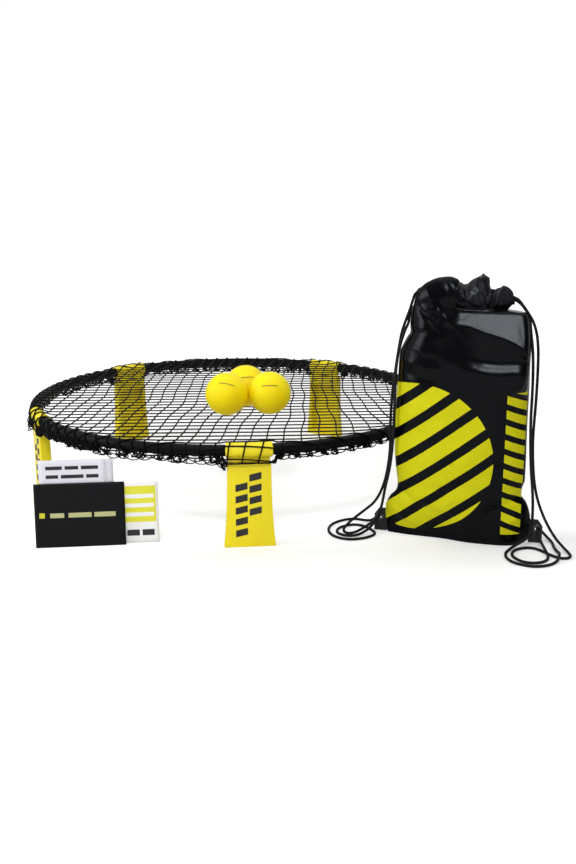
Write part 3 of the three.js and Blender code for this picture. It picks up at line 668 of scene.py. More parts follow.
def over_ring(x, y):
    """Where a point of the flat net lies once it is pulled over the ring, or None past its edge."""
    flat = math.hypot(x, y)
    bearing = math.atan2(y, x)
    if flat <= BED_EDGE:
        return on_ring(flat - RING_RADIUS, BED_PLACE[1], bearing)
    tube_reach, collar_reach = TUBE_LINE[1][-1], COLLAR_LINE[1][-1]
    reach = tube_reach + (collar_reach - tube_reach) * collar_share(bearing)
    share = (flat - BED_EDGE) / reach
    return on_ring(*net_edge_place(bearing, share), bearing) if share <= 1 else None


def swing_at(table, place):
    """A sideways swing from a table, smooth between its points."""
    for (x0, y0), (x1, y1) in zip(table, table[1:]):
        if place <= x1:
            t = min(max((place - x0) / (x1 - x0), 0), 1)
            return y0 + (y1 - y0) * t
    return table[-1][1]


def net_flat(u, v):
    """A point of the net's grid on the flat: its strands swing sideways where it was pulled on."""
    near = [swing_at(table, v + step) for table in (LEFT_SWING, RIGHT_SWING)
            for step in (-0.04, 0, 0.04)]
    left, right = sum(near[:3]) / 3, sum(near[3:]) / 3
    loose = 0.004 * noise.noise(Vector((u * 6, v * 4, 1.7)))
    loose += 0.0022 * math.sin(2 * math.pi * (v / 0.21 + u * 2.3))
    x = u + left + (right - left) * blend_in(0.05, 0.35, u) + loose
    y = v + 0.003 * noise.noise(Vector((u * 5, v * 9, 8.2)))
    cos, sin = math.cos(NET_TURN), math.sin(NET_TURN)
    return x * cos - y * sin, x * sin + y * cos


def strand_runs(offset, crosswise):
    """The stretches of one strand, up to the net's edge, as lists of points."""
    step = MESH_PITCH / SAMPLES

    def place_at(t):
        return over_ring(*(net_flat(t, offset) if crosswise else net_flat(offset, t)))

    def edge_between(inside, outside):
        for _ in range(10):
            middle = (inside + outside) / 2
            held = place_at(middle) is not None
            inside, outside = (middle, outside) if held else (inside, middle)
        return place_at(inside)

    runs, run, before = [], [], None
    for i in range(int(2 * NET_SPAN / step) + 1):
        t = -NET_SPAN + i * step
        place = place_at(t)
        if place is None:
            if run:
                run.append(edge_between(before, t))
                runs.append(run)
            run = []
        else:
            if not run and before is not None:
                run.append(edge_between(t, before))
            flat = (place - RING_MIDDLE).to_2d().length
            if flat > BED_EDGE - 0.02 or i % 3 == 0:
                run.append(place)
        before = t
    return [r for r in runs if len(r) > 2]


strand_count = int(NET_SPAN / MESH_PITCH)
offsets = [i * MESH_PITCH for i in range(-strand_count, strand_count + 1)]
shape = bmesh.new()
for crosswise in (False, True):
    for offset in offsets:
        for run in strand_runs(offset, crosswise):
            sweep_cord(shape, run, STRAND_RADIUS, 6)
# Knots where the strands cross.
for place in [over_ring(*net_flat(u, v)) for u in offsets for v in offsets]:
    if place is not None:
        squashed = Matrix.Translation(place) @ Matrix.Diagonal((1.2, 1.2, 0.8, 1))
        bmesh.ops.create_icosphere(shape, subdivisions=1, radius=KNOT_RADIUS, matrix=squashed)

# Twisted nylon: matt black, its three plies winding round each 4 mm.
net_look, tree = new_material("twisted_nylon")
tone = mottled_tone(tree, 40.0, 3.0, "#020203", "#08080a")[0]
finish_look(tree, {"Base Color": tone, "Roughness": 0.72, "Specular IOR Level": 0.12},
            winding(tree, TWIST_PITCH, 3), 0.5, 0.0003)
net = finish_piece("net_meshes", shape, net_look)
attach(net, "ring")
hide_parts("net_bed")

# Edge of the net: a thicker cord through the outermost meshes, caught on the hooks, and
# loose meshes that curl and tangle below it.
EDGE_RADIUS = 0.0015
EDGE_STEPS = 540
FRINGE_RADIUS = 0.0011
FRINGE_STEP = 0.0026
CURL_LENGTH = 0.023  # of ring for each curl
# For each sector, from the front leg round to the right: how many lines of curls, how far they
# hang, and how small and large its bunches are.
FRINGE_LINES = (2, 3, 3, 3, 3)
FRINGE_FALL = (0.8, 1.0, 1.1, 1.0, 1.3)
BUNCH_SIZES = ((0.5, 1.0), (0.8, 1.4), (0.9, 1.6), (0.9, 1.7), (0.8, 1.35))
DENSE_PART = 0.45  # of the last sector, from its first collar, with more bunches
DENSE_BUNCHES = 26
FRINGE_SEED, BUNCH_SEED = 19, 19
BUNCH_SPACE = 0.027
BUNCH_TURNS, BUNCH_STEPS = 4.5, 45
HOOK_BEARINGS = [bearing + first_hook + i * hook_pitch
                 for bearing in LEG_BEARINGS for i in range(HOOK_COUNT)]


def edge_place(bearing, outward=0.0, up=0.0):
    """A place beside the edge of the net."""
    x, z = net_edge_place(bearing)
    return on_ring(x + outward, z + up, bearing)


def slack(bearing):
    """How loose the edge is: 0 at a hook and on a collar, up to 1 between them."""
    free = min(nearest_turn(bearing, HOOK_BEARINGS) / (hook_pitch / 2), 1)
    return free * (1 - collar_share(bearing))


def sector_span(k, space):
    """The bearings where a sector starts and ends, at that space from its two collars."""
    margin = (COLLAR_WIDTH / 2 + space) / RING_RADIUS
    return LEG_BEARINGS[k] + margin, LEG_BEARINGS[k] + SECTOR - margin


shape = bmesh.new()
edge_line = []
for i in range(EDGE_STEPS):
    bearing = 2 * math.pi * i / EDGE_STEPS
    ripple = 0.002 * noise.noise(Vector((bearing * 40, 0, 0)))
    edge_line.append(edge_place(bearing, ripple, -0.004 * slack(bearing) + ripple))
sweep_cord(shape, edge_line + edge_line[:2], EDGE_RADIUS, 8)

noise.seed_set(FRINGE_SEED)  # for noise_vector, which otherwise differs from run to run
for k in range(LEG_COUNT):
    begin, finish = sector_span(k, 0.004)
    count = int((finish - begin) * RING_RADIUS / FRINGE_STEP)
    for line_number in range(FRINGE_LINES[k]):
        seed = Vector((k * 7.3, line_number * 11.7, 3.1))
        curl_turn = line_number * 2.1
        line = []
        for i in range(count + 1):
            bearing = begin + (finish - begin) * i / count
            run = i * FRINGE_STEP
            drift = noise.noise_vector(seed + Vector((run * 30, 0, 0)))
            wild = 0.5 + 0.5 * noise.noise(seed + Vector((run * 9, 5, 0)))
            curl_turn += 2 * math.pi * FRINGE_STEP / CURL_LENGTH * (0.7 + 0.9 * abs(drift.z))
            high = line_number % 2  # every second line lies against the tube
            close = 0.6 if k == LEG_COUNT - 1 and i < DENSE_PART * count else 1.0
            size = (0.0030 + 0.0070 * wild) * (1 - 0.35 * high) * close
            outward = (-0.003 - 0.003 * high + 0.005 * drift.x
                       + 0.4 * size * math.cos(curl_turn * 0.7))
            fall = (0.0035 + 0.0080 * wild) * FRINGE_FALL[k] * close * (1 - high) - 0.0022 * high
            up = -fall + 0.003 * drift.y + 0.6 * size * math.sin(curl_turn)
            back = size * math.cos(curl_turn) / RING_RADIUS
            line.append(edge_place(bearing + back, outward, up))
        sweep_cord(shape, line, FRINGE_RADIUS, 5)

# Bunches: spare meshes pulled through and knotted, that hang as lumps under the tubes.
bunch_picks = random.Random(BUNCH_SEED)
for k in range(LEG_COUNT):
    begin, finish = sector_span(k, 0.001)
    count = int((finish - begin) * RING_RADIUS / BUNCH_SPACE)
    shares = [(i + bunch_picks.uniform(0.2, 0.8)) / count for i in range(count)]
    if k == LEG_COUNT - 1:
        shares += [DENSE_PART * (i + bunch_picks.uniform(0.2, 0.8)) / DENSE_BUNCHES
                   for i in range(DENSE_BUNCHES)]
    for share in shares + [0.0, 0.016, 0.984, 1.0]:
        bearing = begin + (finish - begin) * share
        size = bunch_picks.uniform(*BUNCH_SIZES[k])
        if min(share, 1 - share) < 0.01:
            size *= 0.6
        turns = [bunch_picks.uniform(0, 6.3) for _ in range(3)]
        line = []
        for j in range(BUNCH_STEPS + 1):
            a = j / BUNCH_STEPS * 2 * math.pi * BUNCH_TURNS
            outward = size * (0.0052 * math.sin(a * 1.31 + turns[0]) - 0.001)
            up = size * (0.0080 * math.sin(a * 0.73 + turns[1]) - 0.005) + 0.003
            aside = size * 0.0062 * math.cos(a + turns[2]) / RING_RADIUS
            line.append(edge_place(bearing + aside, outward, up))
        sweep_cord(shape, line, FRINGE_RADIUS * 1.1, 5)
edge = finish_piece("net_edge_tangle", shape, net_look)
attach(edge, "ring")
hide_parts("net_edge")

# ---- Balls -----------------------------------------------
# Inflated balls of thin yellow PVC, 89 mm across, with a finely pebbled skin, a moulded seam
# and a needle valve. They are blown from a mould and trimmed by hand.
BALL_RADIUS = 0.0445
BALL_LIFT = 0.0003  # off the net
VALVE_RADIUS, VALVE_DEPTH = 0.0032, 0.004
BALL_SEGMENTS, BALL_RINGS = 64, 40
SEAM_GROWTH = 1.0025
PEBBLE = 0.0016
# A plain printed dash on each ball: how far up from the middle of its front, and its slope.
BALL_DASHES = [(0.46, -16), (0.33, 1), (0.40, 5)]
DASH_LENGTH, DASH_WIDTH, DASH_STEPS = 0.034, 0.0016, 14
DASH_SECTION = ((0.00012, -1), (0.00018, 0), (0.00012, 1), (-0.0003, 1), (-0.0003, -1))

# Pebbled PVC: warm yellow that glows a little in its own shade. Pebbles of 1 mm are drawn at 1.6.
ball_look, tree = new_material("pebbled_pvc")
tone, cloud, place = mottled_tone(tree, 35.0, 2.0, "#ffd600", "#ffe208")
pebble = add_node(tree, "TexVoronoi", {"Vector": place, "Scale": 1 / PEBBLE}, feature="SMOOTH_F1")
finish_look(tree, {"Base Color": tone, "Specular IOR Level": 0.22, "Subsurface Weight": 1.0,
                   "Roughness": add_node(tree, "MapRange", {
                       "Value": cloud, "To Min": 0.44, "To Max": 0.56}),
                   "Subsurface Radius": (1.0, 0.6, 0.05), "Subsurface Scale": 0.06},
            pebble, 0.18, 0.0003)
valve_look = moulded_look("soft_valve_rubber", "#c8940f", "#dca617", 0.6, 0.001)


def ball_dash(name, middle, rise, slope):
    """A thin dash of ink that follows the ball's skin, on the side towards the camera."""
    facing = (camera.location - middle).normalized()
    right = Vector((0, 0, 1)).cross(facing).normalized()
    up = facing.cross(right)
    out = (facing * math.sqrt(1 - rise * rise) + up * rise).normalized()
    along = right * math.cos(math.radians(slope)) + up * math.sin(math.radians(slope))
    along = (along - out * along.dot(out)).normalized()
    side = out.cross(along)
    shape = bmesh.new()
    rings = []
    for i in range(DASH_STEPS + 1):
        a = (i / DASH_STEPS - 0.5) * DASH_LENGTH / BALL_RADIUS
        centre = out * math.cos(a) + along * math.sin(a)
        wide = DASH_WIDTH / 2 * (1 if 0 < i < DASH_STEPS else 0.6)
        rings.append([shape.verts.new(middle + centre * (BALL_RADIUS + lift) + side * wide * edge)
                      for lift, edge in DASH_SECTION])
    skin(shape, rings)
    return finish_piece(name, shape, ink_look, turn_out=True)


for k in range(1, 4):
    low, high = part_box(f"ball_{k}")
    centre = (low + high) / 2
    valve_low, valve_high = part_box(f"ball_valve_{k}")
    axis = ((valve_low + valve_high) / 2 - centre).normalized()
    centre.z = net_high.z + BALL_LIFT + BALL_RADIUS
    ball = add_shape(f"ball_skin_{k}", bpy.ops.mesh.primitive_uv_sphere_add, segments=BALL_SEGMENTS,
                     ring_count=BALL_RINGS, radius=BALL_RADIUS, location=centre,
                     rotation=axis.to_track_quat("Z", "Y").to_euler())
    # The valve's hole: the faces around the pole are taken in and down.
    edit_all(ball)
    bpy.ops.mesh.select_all(action="DESELECT")
    bpy.ops.mesh.select_mode(type="FACE")
    leave_edit()
    for face in ball.data.polygons:
        face.select = (face.center - centre).normalized().angle(axis) < math.pi / BALL_RINGS * 1.2
    bpy.ops.object.mode_set(mode="EDIT")
    scale = VALVE_RADIUS / (BALL_RADIUS * math.sin(math.pi / BALL_RINGS))
    bpy.ops.transform.resize(value=(scale, scale, scale),
                             center_override=centre + axis * BALL_RADIUS)
    bpy.ops.mesh.extrude_region_move(TRANSFORM_OT_translate={"value": -axis * VALVE_DEPTH})
    leave_edit()
    # The moulded seam: a fine ridge around the ball, a quarter turn from the valve.
    for vertex in ball.data.vertices:
        away = vertex.co - centre
        if abs(away.normalized().dot(axis)) < 0.01 and away.length > BALL_RADIUS * 0.9:
            vertex.co = centre + away * SEAM_GROWTH
    ball.data.materials.append(ball_look)
    bpy.ops.object.shade_smooth()
    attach(ball, f"ball_{k}")
    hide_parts(f"ball_{k}")
    dash = ball_dash(f"ball_print_{k}", centre, *BALL_DASHES[k - 1])
    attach(dash, f"ball_{k}")
    set_look(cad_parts[f"ball_valve_{k}"], valve_look)

# ---- Drawstring bag --------------------------------------
# A black coated nylon sack, one cut panel sewn up both sides, stuffed and standing on its
# bottom. Its mouth is drawn shut into a ruffle, behind the sharp top edge of the front.
BODY_LEFT = [
    (0, -134), (14, -139), (40, -140), (57, -139), (76, -131), (90, -119), (102, -117), (139, -122),
    (179, -125), (234, -125), (274, -124), (313, -122), (344, -121), (363, -119), (378, -113),
    (390, -107), (401, -101), (413, -102), (439, -100), (445, -98.5)]  # height, edge
BODY_RIGHT = [
    (0, 128), (10, 134), (30, 137), (50, 137), (66, 134), (82, 128), (97, 118), (110, 119),
    (125, 123), (156, 123), (195, 122), (249, 121), (295, 121), (347, 120), (384, 120), (421, 116),
    (436, 112), (441, 108), (445, 74)]
DEPTH_LEFT = [
    (0, 20), (26, 27), (57, 33), (90, 38), (130, 42), (198, 46), (269, 46), (330, 45), (350, 43.5),
    (368, 41.5), (395, 38.5), (410, 36), (428, 32), (445, 28)]
DEPTH_RIGHT = [
    (0, 20), (26, 27), (57, 33), (90, 38), (130, 42), (198, 46), (269, 46.5), (330, 46.5),
    (347, 45.5), (357, 42), (368, 38), (378, 38.5), (396, 38.5), (405, 36.5), (441, 17), (445, 11)]
VALLEY_LEVEL = 368
VALLEY = [
    (-104, 380), (0, 368), (20, 365), (52, 370), (79, 377), (101, 367),
    (117, 350)]  # main fold of the back
# The front's right half, from across to height or depth: a small lit shelf, the valley over it, and
# the face that slopes back from there to the top edge.
SHELF = [(-20, 351), (20, 348), (40, 344.5), (60, 343), (80, 344), (98, 345), (117, 342)]
FACE_START = [
    (-53, 429), (-23, 422), (14, 414), (36, 407), (58, 401), (75, 396), (91, 389), (110, 379),
    (119, 370)]
FACE_TOP = [(-35, 22), (-12, 20.2), (12, 18.6), (60, 17.2), (100, 17), (119, 17.2)]
BOTTOM_FRONT = [
    (-139, 5), (-94, 9), (-31, 14), (34, 27), (94, 28), (130, 18), (139, 6)]  # across, forward
MOUTH_TOP = [
    (-98, 447), (-96.5, 453), (-94.3, 461), (-92, 468), (-86.5, 480), (-72, 493), (-50, 502),
    (-32, 504), (-18, 500), (-7, 491), (1, 492), (12, 501), (22, 507), (30, 510), (36, 504),
    (41, 489), (47, 482), (58, 487), (68, 489), (76, 485), (82, 476),
    (86, 463)]  # across, height of the ruffle's edge
SHOULDER = 441
NECK = 445
GATHER = (38, 418)  # where the ruffle's folds fan out from
# Smaller folds of the front, from one end to the other: how wide, and how far out.
FOLDS = [
    ((-122, 352), (-50, 336), 9, 3.4), ((-120, 330), (-60, 318), 9, -2.2),
    ((-104, 378), (-60, 366), 7, 1.8), ((-118, 97), (-58, 62), 11, -6.0),
    ((-137, 64), (-84, 30), 11, 4.0), ((118, 98), (66, 70), 11, -5.5),
    ((135, 68), (88, 38), 11, 4.0), ((-118, 130), (-88, 215), 12, -2.4),
    ((-60, 24), (20, 58), 18, 2.4), ((62, 210), (96, 120), 18, -2.2),
    ((-30, 306), (60, 292), 18, -2.2), ((-92, 252), (-30, 268), 16, 1.8),
    ((10, 160), (70, 250), 20, 2.2), ((112, 310), (60, 322), 12, 1.8),
    ((-96, 455), (-52, 418), 8, -3.4), ((-78, 486), (-36, 430), 9, 2.8),
    ((-40, 500), (-14, 446), 7, -2.4), ((-60, 496), (-44, 470), 7, -0.9),
    ((104, 400), (96, 436), 9, -1.6)]
CREASE_COUNT, CREASE_SEED = 46, 7
CREASES_ALONG = 0.75  # share of the creases that lie nearly level
RELIEF_WAVES = ((1, 3.0), (3.1, 1.2), (8, 0.35))  # fineness and height of the cloth's waves
BACK_FOLDS = 0.75  # height of the folds at the back
DEEPEST, SHELF_LIP = 46.5, 16  # of the front's right half, and how far under the shelf it ends
PLEAT_ANGLE, PLEAT_RISE, PLEAT_DEPTH = 0.5, 0.75, 6.2  # each pleat's fan, slow side and depth
FINE_ANGLE, FINE_DEPTH, CRUMPLE_DEPTH = 0.36, 1.4, 1.2
INNER_DROP = 26  # of the mouth's inside, down from the ruffle's edge
BAG_COLUMNS = 104
BODY_ROWS = 168
MOUTH_ROWS = 40
INNER_ROWS = 6


def table_value(table, place):
    """The value at a place in a table, on a smooth curve that doesn't swing past its points."""
    if place <= table[0][0]:
        return table[0][1]
    if place >= table[-1][0]:
        return table[-1][1]
    i = next(k for k in range(len(table) - 1) if place <= table[k + 1][0])
    slopes = []
    for k in (i, i + 1):
        before, here, after = table[max(k - 1, 0)], table[k], table[min(k + 1, len(table) - 1)]
        left = (here[1] - before[1]) / (here[0] - before[0]) if k > 0 else 0
        right = (after[1] - here[1]) / (after[0] - here[0]) if k < len(table) - 1 else 0
        slopes.append(2 * left * right / (left + right) if left * right > 0 else 0)
    (x0, y0), (x1, y1) = table[i], table[i + 1]
    wide = x1 - x0
    t = (place - x0) / wide
    return ((1 + 2 * t) * (1 - t) ** 2 * y0 + t * (1 - t) ** 2 * wide * slopes[0]
            + t * t * (3 - 2 * t) * y1 + t * t * (t - 1) * wide * slopes[1])


def fold_height(u, z, start, end, width, height):
    """The height of one soft fold at a point: highest along its line, and fading at its ends."""
    du, dz = end[0] - start[0], end[1] - start[1]
    length = math.hypot(du, dz)
    along = ((u - start[0]) * du + (z - start[1]) * dz) / length
    off = abs((u - start[0]) * dz - (z - start[1]) * du) / length
    if off > 4 * width or along < -length * 0.5 or along > length * 1.5:
        return 0.0
    over = max(-along, along - length, 0)
    middle = 1 - 0.35 * abs(along / length - 0.4)
    wide = width * (0.6 + 0.5 * min(max(along / length, 0), 1))
    return height * middle * math.exp(-(over / 12) ** 2) / (1 + (off / wide) ** 2) ** 1.5


crease_picks = random.Random(CREASE_SEED)
creases = []
for i in range(CREASE_COUNT):
    u, z = crease_picks.uniform(-120, 115), crease_picks.uniform(15, 435)
    lies_flat = crease_picks.random() < CREASES_ALONG
    angle = crease_picks.gauss(0.1, 0.5) if lies_flat else crease_picks.uniform(0, math.pi)
    half = crease_picks.uniform(12, 40)
    step = (half * math.cos(angle), half * math.sin(angle))
    ends = (u - step[0], z - step[1]), (u + step[0], z + step[1])
    wide = crease_picks.uniform(5, 11)
    creases.append((*ends, wide, crease_picks.choice((-1, 1)) * crease_picks.uniform(0.4, 1.3)))


def cloth_relief(u, z, side):
    """How far the cloth stands out from the stuffed form, in millimetres."""
    seed = 0 if side < 0 else 40
    place = Vector((u * 0.011 + seed, z * 0.009, seed))
    relief = sum(height * noise.noise(place * fineness) for fineness, height in RELIEF_WAVES)
    mirrored = u if side < 0 else -u * 0.96 + 7
    for start, end, width, height in creases:
        relief += fold_height(mirrored, z, start, end, width, height)
    share = 1.0 if side < 0 else BACK_FOLDS
    for start, end, width, height in FOLDS:
        relief += share * fold_height(mirrored, z, start, end, width, height)
    return relief


def body_point(t, z, side):
    """A point of the body: t from -1 at the left edge to 1 at the right, side -1 is the front."""
    left, right = table_value(BODY_LEFT, z), table_value(BODY_RIGHT, z)
    u = (left + right) / 2 + t * (right - left) / 2
    # Seen from above the form is an oval that gets squarer towards the top, most at the right.
    square = 2.8 + (3.6 if t > 0 else 0.8) * blend_in(230, 400, z)
    square += 32 * blend_in(285, 345, z) if t > 0 else 0
    crown = max(1 - abs(t) ** square, 0) ** 0.7
    # The depth tables hold at the valley's level and move up and down with the valley.
    moved = (table_value(VALLEY, u) - VALLEY_LEVEL) * blend_in(300, 350, z)
    at = z - moved * (1 - blend_in(395, 438, z)) * (1.0 if side < 0 else 0.5)
    plain, folded = table_value(DEPTH_LEFT, at), table_value(DEPTH_RIGHT, at)
    share = 0.35
    inside = min(crown * 1.6, 1) * blend_in(0, 26, z)
    if side < 0:
        shelf, face, top = [table_value(table, u) for table in (SHELF, FACE_START, FACE_TOP)]
        slope = 0.3 + 0.165 * blend_in(-60, 16, u)
        if z > shelf - SHELF_LIP:
            front = [(at, top + slope * (SHOULDER - at))
                     for at in (face, face + 5, SHOULDER - 5, SHOULDER)]
            front = [(shelf - SHELF_LIP, DEEPEST), (shelf - 11, 46),
                     (shelf + 9, 37), (shelf + 14, 36),
                     (face - 5, front[0][1] + 0.5), *front, (NECK, top - 3.5)]
            folded = table_value(front, z)
        left_share, right_share = blend_in(-72, 10, u), blend_in(-20, 40, u)
        share = right_share + (left_share - right_share) * blend_in(335, 415, z)
        inside *= 1 - 0.8 * blend_in(290, 325, z) * blend_in(-30, 30, u)
    depth = (plain + (folded - plain) * share) * crown
    if side < 0:  # the stuffed form bulges forward from its own line on the floor
        low = table_value(BOTTOM_FRONT, u) * max(1 - abs(t) ** 8, 0)
        depth += (low - depth) * (1 - blend_in(0, 75, z))
    depth += cloth_relief(u, z, side) * inside
    return u, side * max(depth, 0.4), z


def mouth_point(t, rise, side):
    """A point of the gathered mouth: rise from 0 at the neck to 1 at the ruffle's edge."""
    swell = math.sin(math.pi / 2 * min(rise * 1.5, 1))
    left = BODY_LEFT[-1][1]
    right = BODY_RIGHT[-1][1] + (MOUTH_TOP[-1][0] - BODY_RIGHT[-1][1]) * swell
    u = (left + right) / 2 + t * (right - left) / 2
    ruffle = blend_in(-24, 2, u)
    top = table_value(MOUTH_TOP, u)
    if side > 0:
        top = 0.4 * top + 0.6 * (476 + 9 * math.sin(u * 0.07 + 1)) if abs(t) < 0.96 else top
        ruffle = 0.75
    z = NECK + (top - NECK) * rise
    fan = math.atan2(u - GATHER[0], z - GATHER[1])
    warp = (0.35 * noise.noise(Vector((u * 0.03, z * 0.02, side)))
            + 0.12 * noise.noise(Vector((u * 0.1, z * 0.06, side))))
    part = ((fan + warp) / PLEAT_ANGLE) % 1
    pleat = 1 - 2 * part / PLEAT_RISE
    if part >= PLEAT_RISE:
        pleat = (part - PLEAT_RISE) / ((1 - PLEAT_RISE) / 2) - 1
    fine = 1 - 2 * abs(math.sin(math.pi * (fan * 1.7 + warp * 2 + 0.4) / FINE_ANGLE)) ** 0.8
    crumple = noise.noise(Vector((u * 0.09, z * 0.09, side * 3)))
    crown = max(1 - abs(t) ** 2.4, 0) ** 0.6
    edge = max(1 - abs(t) ** 6, 0)
    start_depth = 28 - 12 * (blend_in(-62, -8, u) if side < 0 else 0.35)
    dome = start_depth + (22 + 4 * math.sin(math.pi * rise) - start_depth) * blend_in(0, 0.3, rise)
    dome = dome * max(1 - rise ** 2.6, 0) ** 0.6 + 5.5 * rise ** 2
    depth = dome * crown
    folds = PLEAT_DEPTH * pleat + FINE_DEPTH * fine + CRUMPLE_DEPTH * crumple
    depth += folds * ruffle * blend_in(0.0, 0.35, rise) * min(crown * 1.4, 1)
    depth += cloth_relief(u, z, side) * min(crown * 1.6, 1) * 0.7 * (1 - ruffle) * (1 - rise ** 3)
    z += (2.2 * pleat + 1.0 * fine) * ruffle * rise * edge
    u += 2.4 * fine * ruffle * rise * edge
    return u, side * max(depth, 1.0), z


shape = bmesh.new()
shares = [-math.cos(math.pi * j / BAG_COLUMNS) * 0.35 + (2 * j / BAG_COLUMNS - 1) * 0.65
          for j in range(BAG_COLUMNS + 1)]
rows = []
for i in range(BODY_ROWS + 1):
    rows.append([[body_point(t, NECK * i / BODY_ROWS, side) for t in shares] for side in (-1, 1)])
for i in range(1, MOUTH_ROWS + 1):
    rise = (i / MOUTH_ROWS) ** 0.9
    rows.append([[mouth_point(t, rise, side) for t in shares] for side in (-1, 1)])
for i in range(1, INNER_ROWS + 1):
    dip = i / INNER_ROWS
    rows.append([[(u, y * (1 - 0.85 * dip), z - INNER_DROP * dip * max(1 - abs(t) ** 4, 0))
                  for t, (u, y, z) in zip(shares, edge)] for edge in rows[BODY_ROWS + MOUTH_ROWS]])
grid, flat = [], []
for front, back in rows:
    around = front + back[1:-1][::-1]
    line = [shape.verts.new(BAG_PLACE @ (Vector(point) / 1000)) for point in around]
    grid.append(line + line[:1])
    flat.append([(u / 1000, z / 1000) for u, y, z in around + around[:1]])
lay_faces(shape, [line[:BAG_COLUMNS + 1] for line in grid], flat)
lay_faces(shape, [line[BAG_COLUMNS:] for line in grid],
          [[(u + 1, z) for u, z in line[BAG_COLUMNS:]] for line in flat])
for line, flip in ((grid[0], True), (grid[-1], False)):
    for j in range(BAG_COLUMNS):
        corners = list(dict.fromkeys([line[j], line[j + 1], line[-j - 2], line[-j - 1]]))
        shape.faces.new(corners[::-1] if flip else corners).smooth = True


def zone(tree, value, low, high):
    """A mask that is 1 where a value lies between two limits."""
    return add_node(tree, "Math", [value, (low + high) / 2, (high - low) / 2], operation="COMPARE")


def product(tree, *masks):
    """A mask that is 1 only where all of them are."""
    mask = masks[0]
    for other in masks[1:]:
        mask = add_node(tree, "Math", [mask, other], operation="MULTIPLY")
    return mask


# Coated nylon: deep black with a low sheen and fine crumples. The print is matt yellow
# plastisol: broad slanted stripes in a round-cornered field, and a column of short bars.
STRIPE_PITCH = 0.046
STRIPE_SLOPE = math.radians(38)
FIELD_MIDDLE = (-0.083, 0.162)
FIELD_REACH = 0.147
BAR_STEP, BAR_TILT = 0.0285, 0.45
bag_look, tree = new_material("coated_nylon")
across, height = uv_places(tree)
slant, climb = [
    add_node(tree, "Math", [way, part(STRIPE_SLOPE) / STRIPE_PITCH], operation="MULTIPLY")
    for way, part in ((across, math.sin), (height, math.cos))]
stripe = add_node(tree, "Math", [climb, slant], operation="SUBTRACT")
stripe = add_node(tree, "Math", [stripe], operation="FRACT")
reach = add_node(tree, "VectorMath", [add_node(tree, "CombineXYZ", [across, height]),
                                      add_node(tree, "CombineXYZ", FIELD_MIDDLE)],
                 "Value", operation="DISTANCE")
field = add_node(tree, "Math", [reach, FIELD_REACH], operation="LESS_THAN")
stripes = product(tree, zone(tree, stripe, 0.32, 0.94), field)
bar = add_node(tree, "Math", [across, BAR_TILT, height], operation="MULTIPLY_ADD")
bar = add_node(tree, "Math", [bar, BAR_STEP], operation="DIVIDE")
bar = add_node(tree, "Math", [bar], operation="FRACT")
column = product(tree, zone(tree, across, 0.083, 0.119), zone(tree, height, 0.022, 0.300),
                 zone(tree, bar, 0.1, 0.68))
printed = add_node(tree, "Math", [stripes, column], operation="MAXIMUM")
cloth, cloud, place = mottled_tone(tree, 9.0, 4.0, "#010102", "#040405")
ink = mottled_tone(tree, 60.0, 5.0, "#c2be08", "#cbc70c")[0]
# Painted sheen: at the top, where the mouth is gathered into the ruffle, the cloth gets a lighter
# grey colour that stands in for the ruffle's sheen.
painted_sheen_mask = product(tree, add_node(tree, "MapRange", [height, 0.449, 0.468]),
              add_node(tree, "MapRange", [across, -0.02, 0.012]))
hem_painted_sheen_tone = mottled_tone(tree, 9.0, 4.0, "#0b0c0d", "#27282b")[0]
# From here the cloth's colour carries the ruffle's painted sheen as well.
cloth = add_node(tree, "Mix", {0: painted_sheen_mask, COLOUR_A: cloth, COLOUR_B: hem_painted_sheen_tone}, COLOUR_OUT,
                 data_type="RGBA")
tone = add_node(tree, "Mix", {0: printed, COLOUR_A: cloth, COLOUR_B: ink}, COLOUR_OUT,
                data_type="RGBA")
shine = add_node(tree, "MapRange", {"Value": cloud, "To Min": 0.22, "To Max": 0.28})
crumple = add_node(tree, "TexNoise", {"Vector": place, "Scale": 55.0, "Detail": 2.0})
weave = add_node(tree, "TexNoise", {"Vector": place, "Scale": 700.0, "Detail": 1.0})
bump = add_node(tree, "Bump", {"Height": crumple, "Strength": 0.2, "Distance": 0.0015})
for relief, strength, depth in ((printed, 0.4, 0.0002), (weave, 0.12, 0.0003)):
    bump = add_node(tree, "Bump", {"Height": relief, "Strength": strength, "Distance": depth,
                                   "Normal": bump})
finish_look(tree, {"Base Color": tone, "Specular IOR Level": 0.125, "Normal": bump,
                   "Roughness": add_node(tree, "Mix", {0: printed, 2: shine, 3: 0.55}),
                   "Specular Tint": (0.86, 0.92, 1.0, 1)})

bag = finish_piece("bag_cloth", shape, bag_look)
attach(bag, "bag")
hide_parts("bag_body", "bag_mouth")

# Corner tabs: doubled black webbing, folded over the corner and sewn on with two rows of
# stitches, each with a rolled eyelet in dark nickel for the drawstring.
TAB_START, TAB_OUTER = 0.1355, 0.1610
TAB_BOTTOM, TAB_TOP = 0.002, 0.0485
TAB_THICKNESS = 0.0026
TAB_HOLE_RADIUS = 0.0071
HOLE_CUTTER = 0.02  # its length
STITCH_ROWS = (0.1385, 0.1412)
STITCH_COUNT, STITCH_PITCH, STITCH_START = 13, 0.0031, 0.0055
THREAD_RADIUS = 0.00035
EYELET_AT = (0.1513, 0.030)
EYELET_PROFILE = [
    (0.0042, -0.0012), (0.0043, -0.0021), (0.0054, -0.0026), (0.0074, -0.0026), (0.0090, -0.0021),
    (0.0092, -0.0015), (0.0068, -0.0015), (0.0068, 0.0015), (0.0092, 0.0015), (0.0090, 0.0021),
    (0.0074, 0.0026), (0.0054, 0.0026), (0.0043, 0.0021), (0.0042, 0.0012)]
EYELET_STEPS = 40
tab_look, tree = new_material("ribbed_webbing")
tone, _, place = mottled_tone(tree, 300.0, 2.0, "#09090a", "#18181a")
ribs = add_node(tree, "TexWave", {"Vector": place, "Scale": 130.0, "Distortion": 0.6}, 1,
                bands_direction="Z")
finish_look(tree, {"Base Color": tone, "Roughness": 0.75}, ribs, 0.5, 0.0004)
thread_look, tree = new_material("sewing_thread")
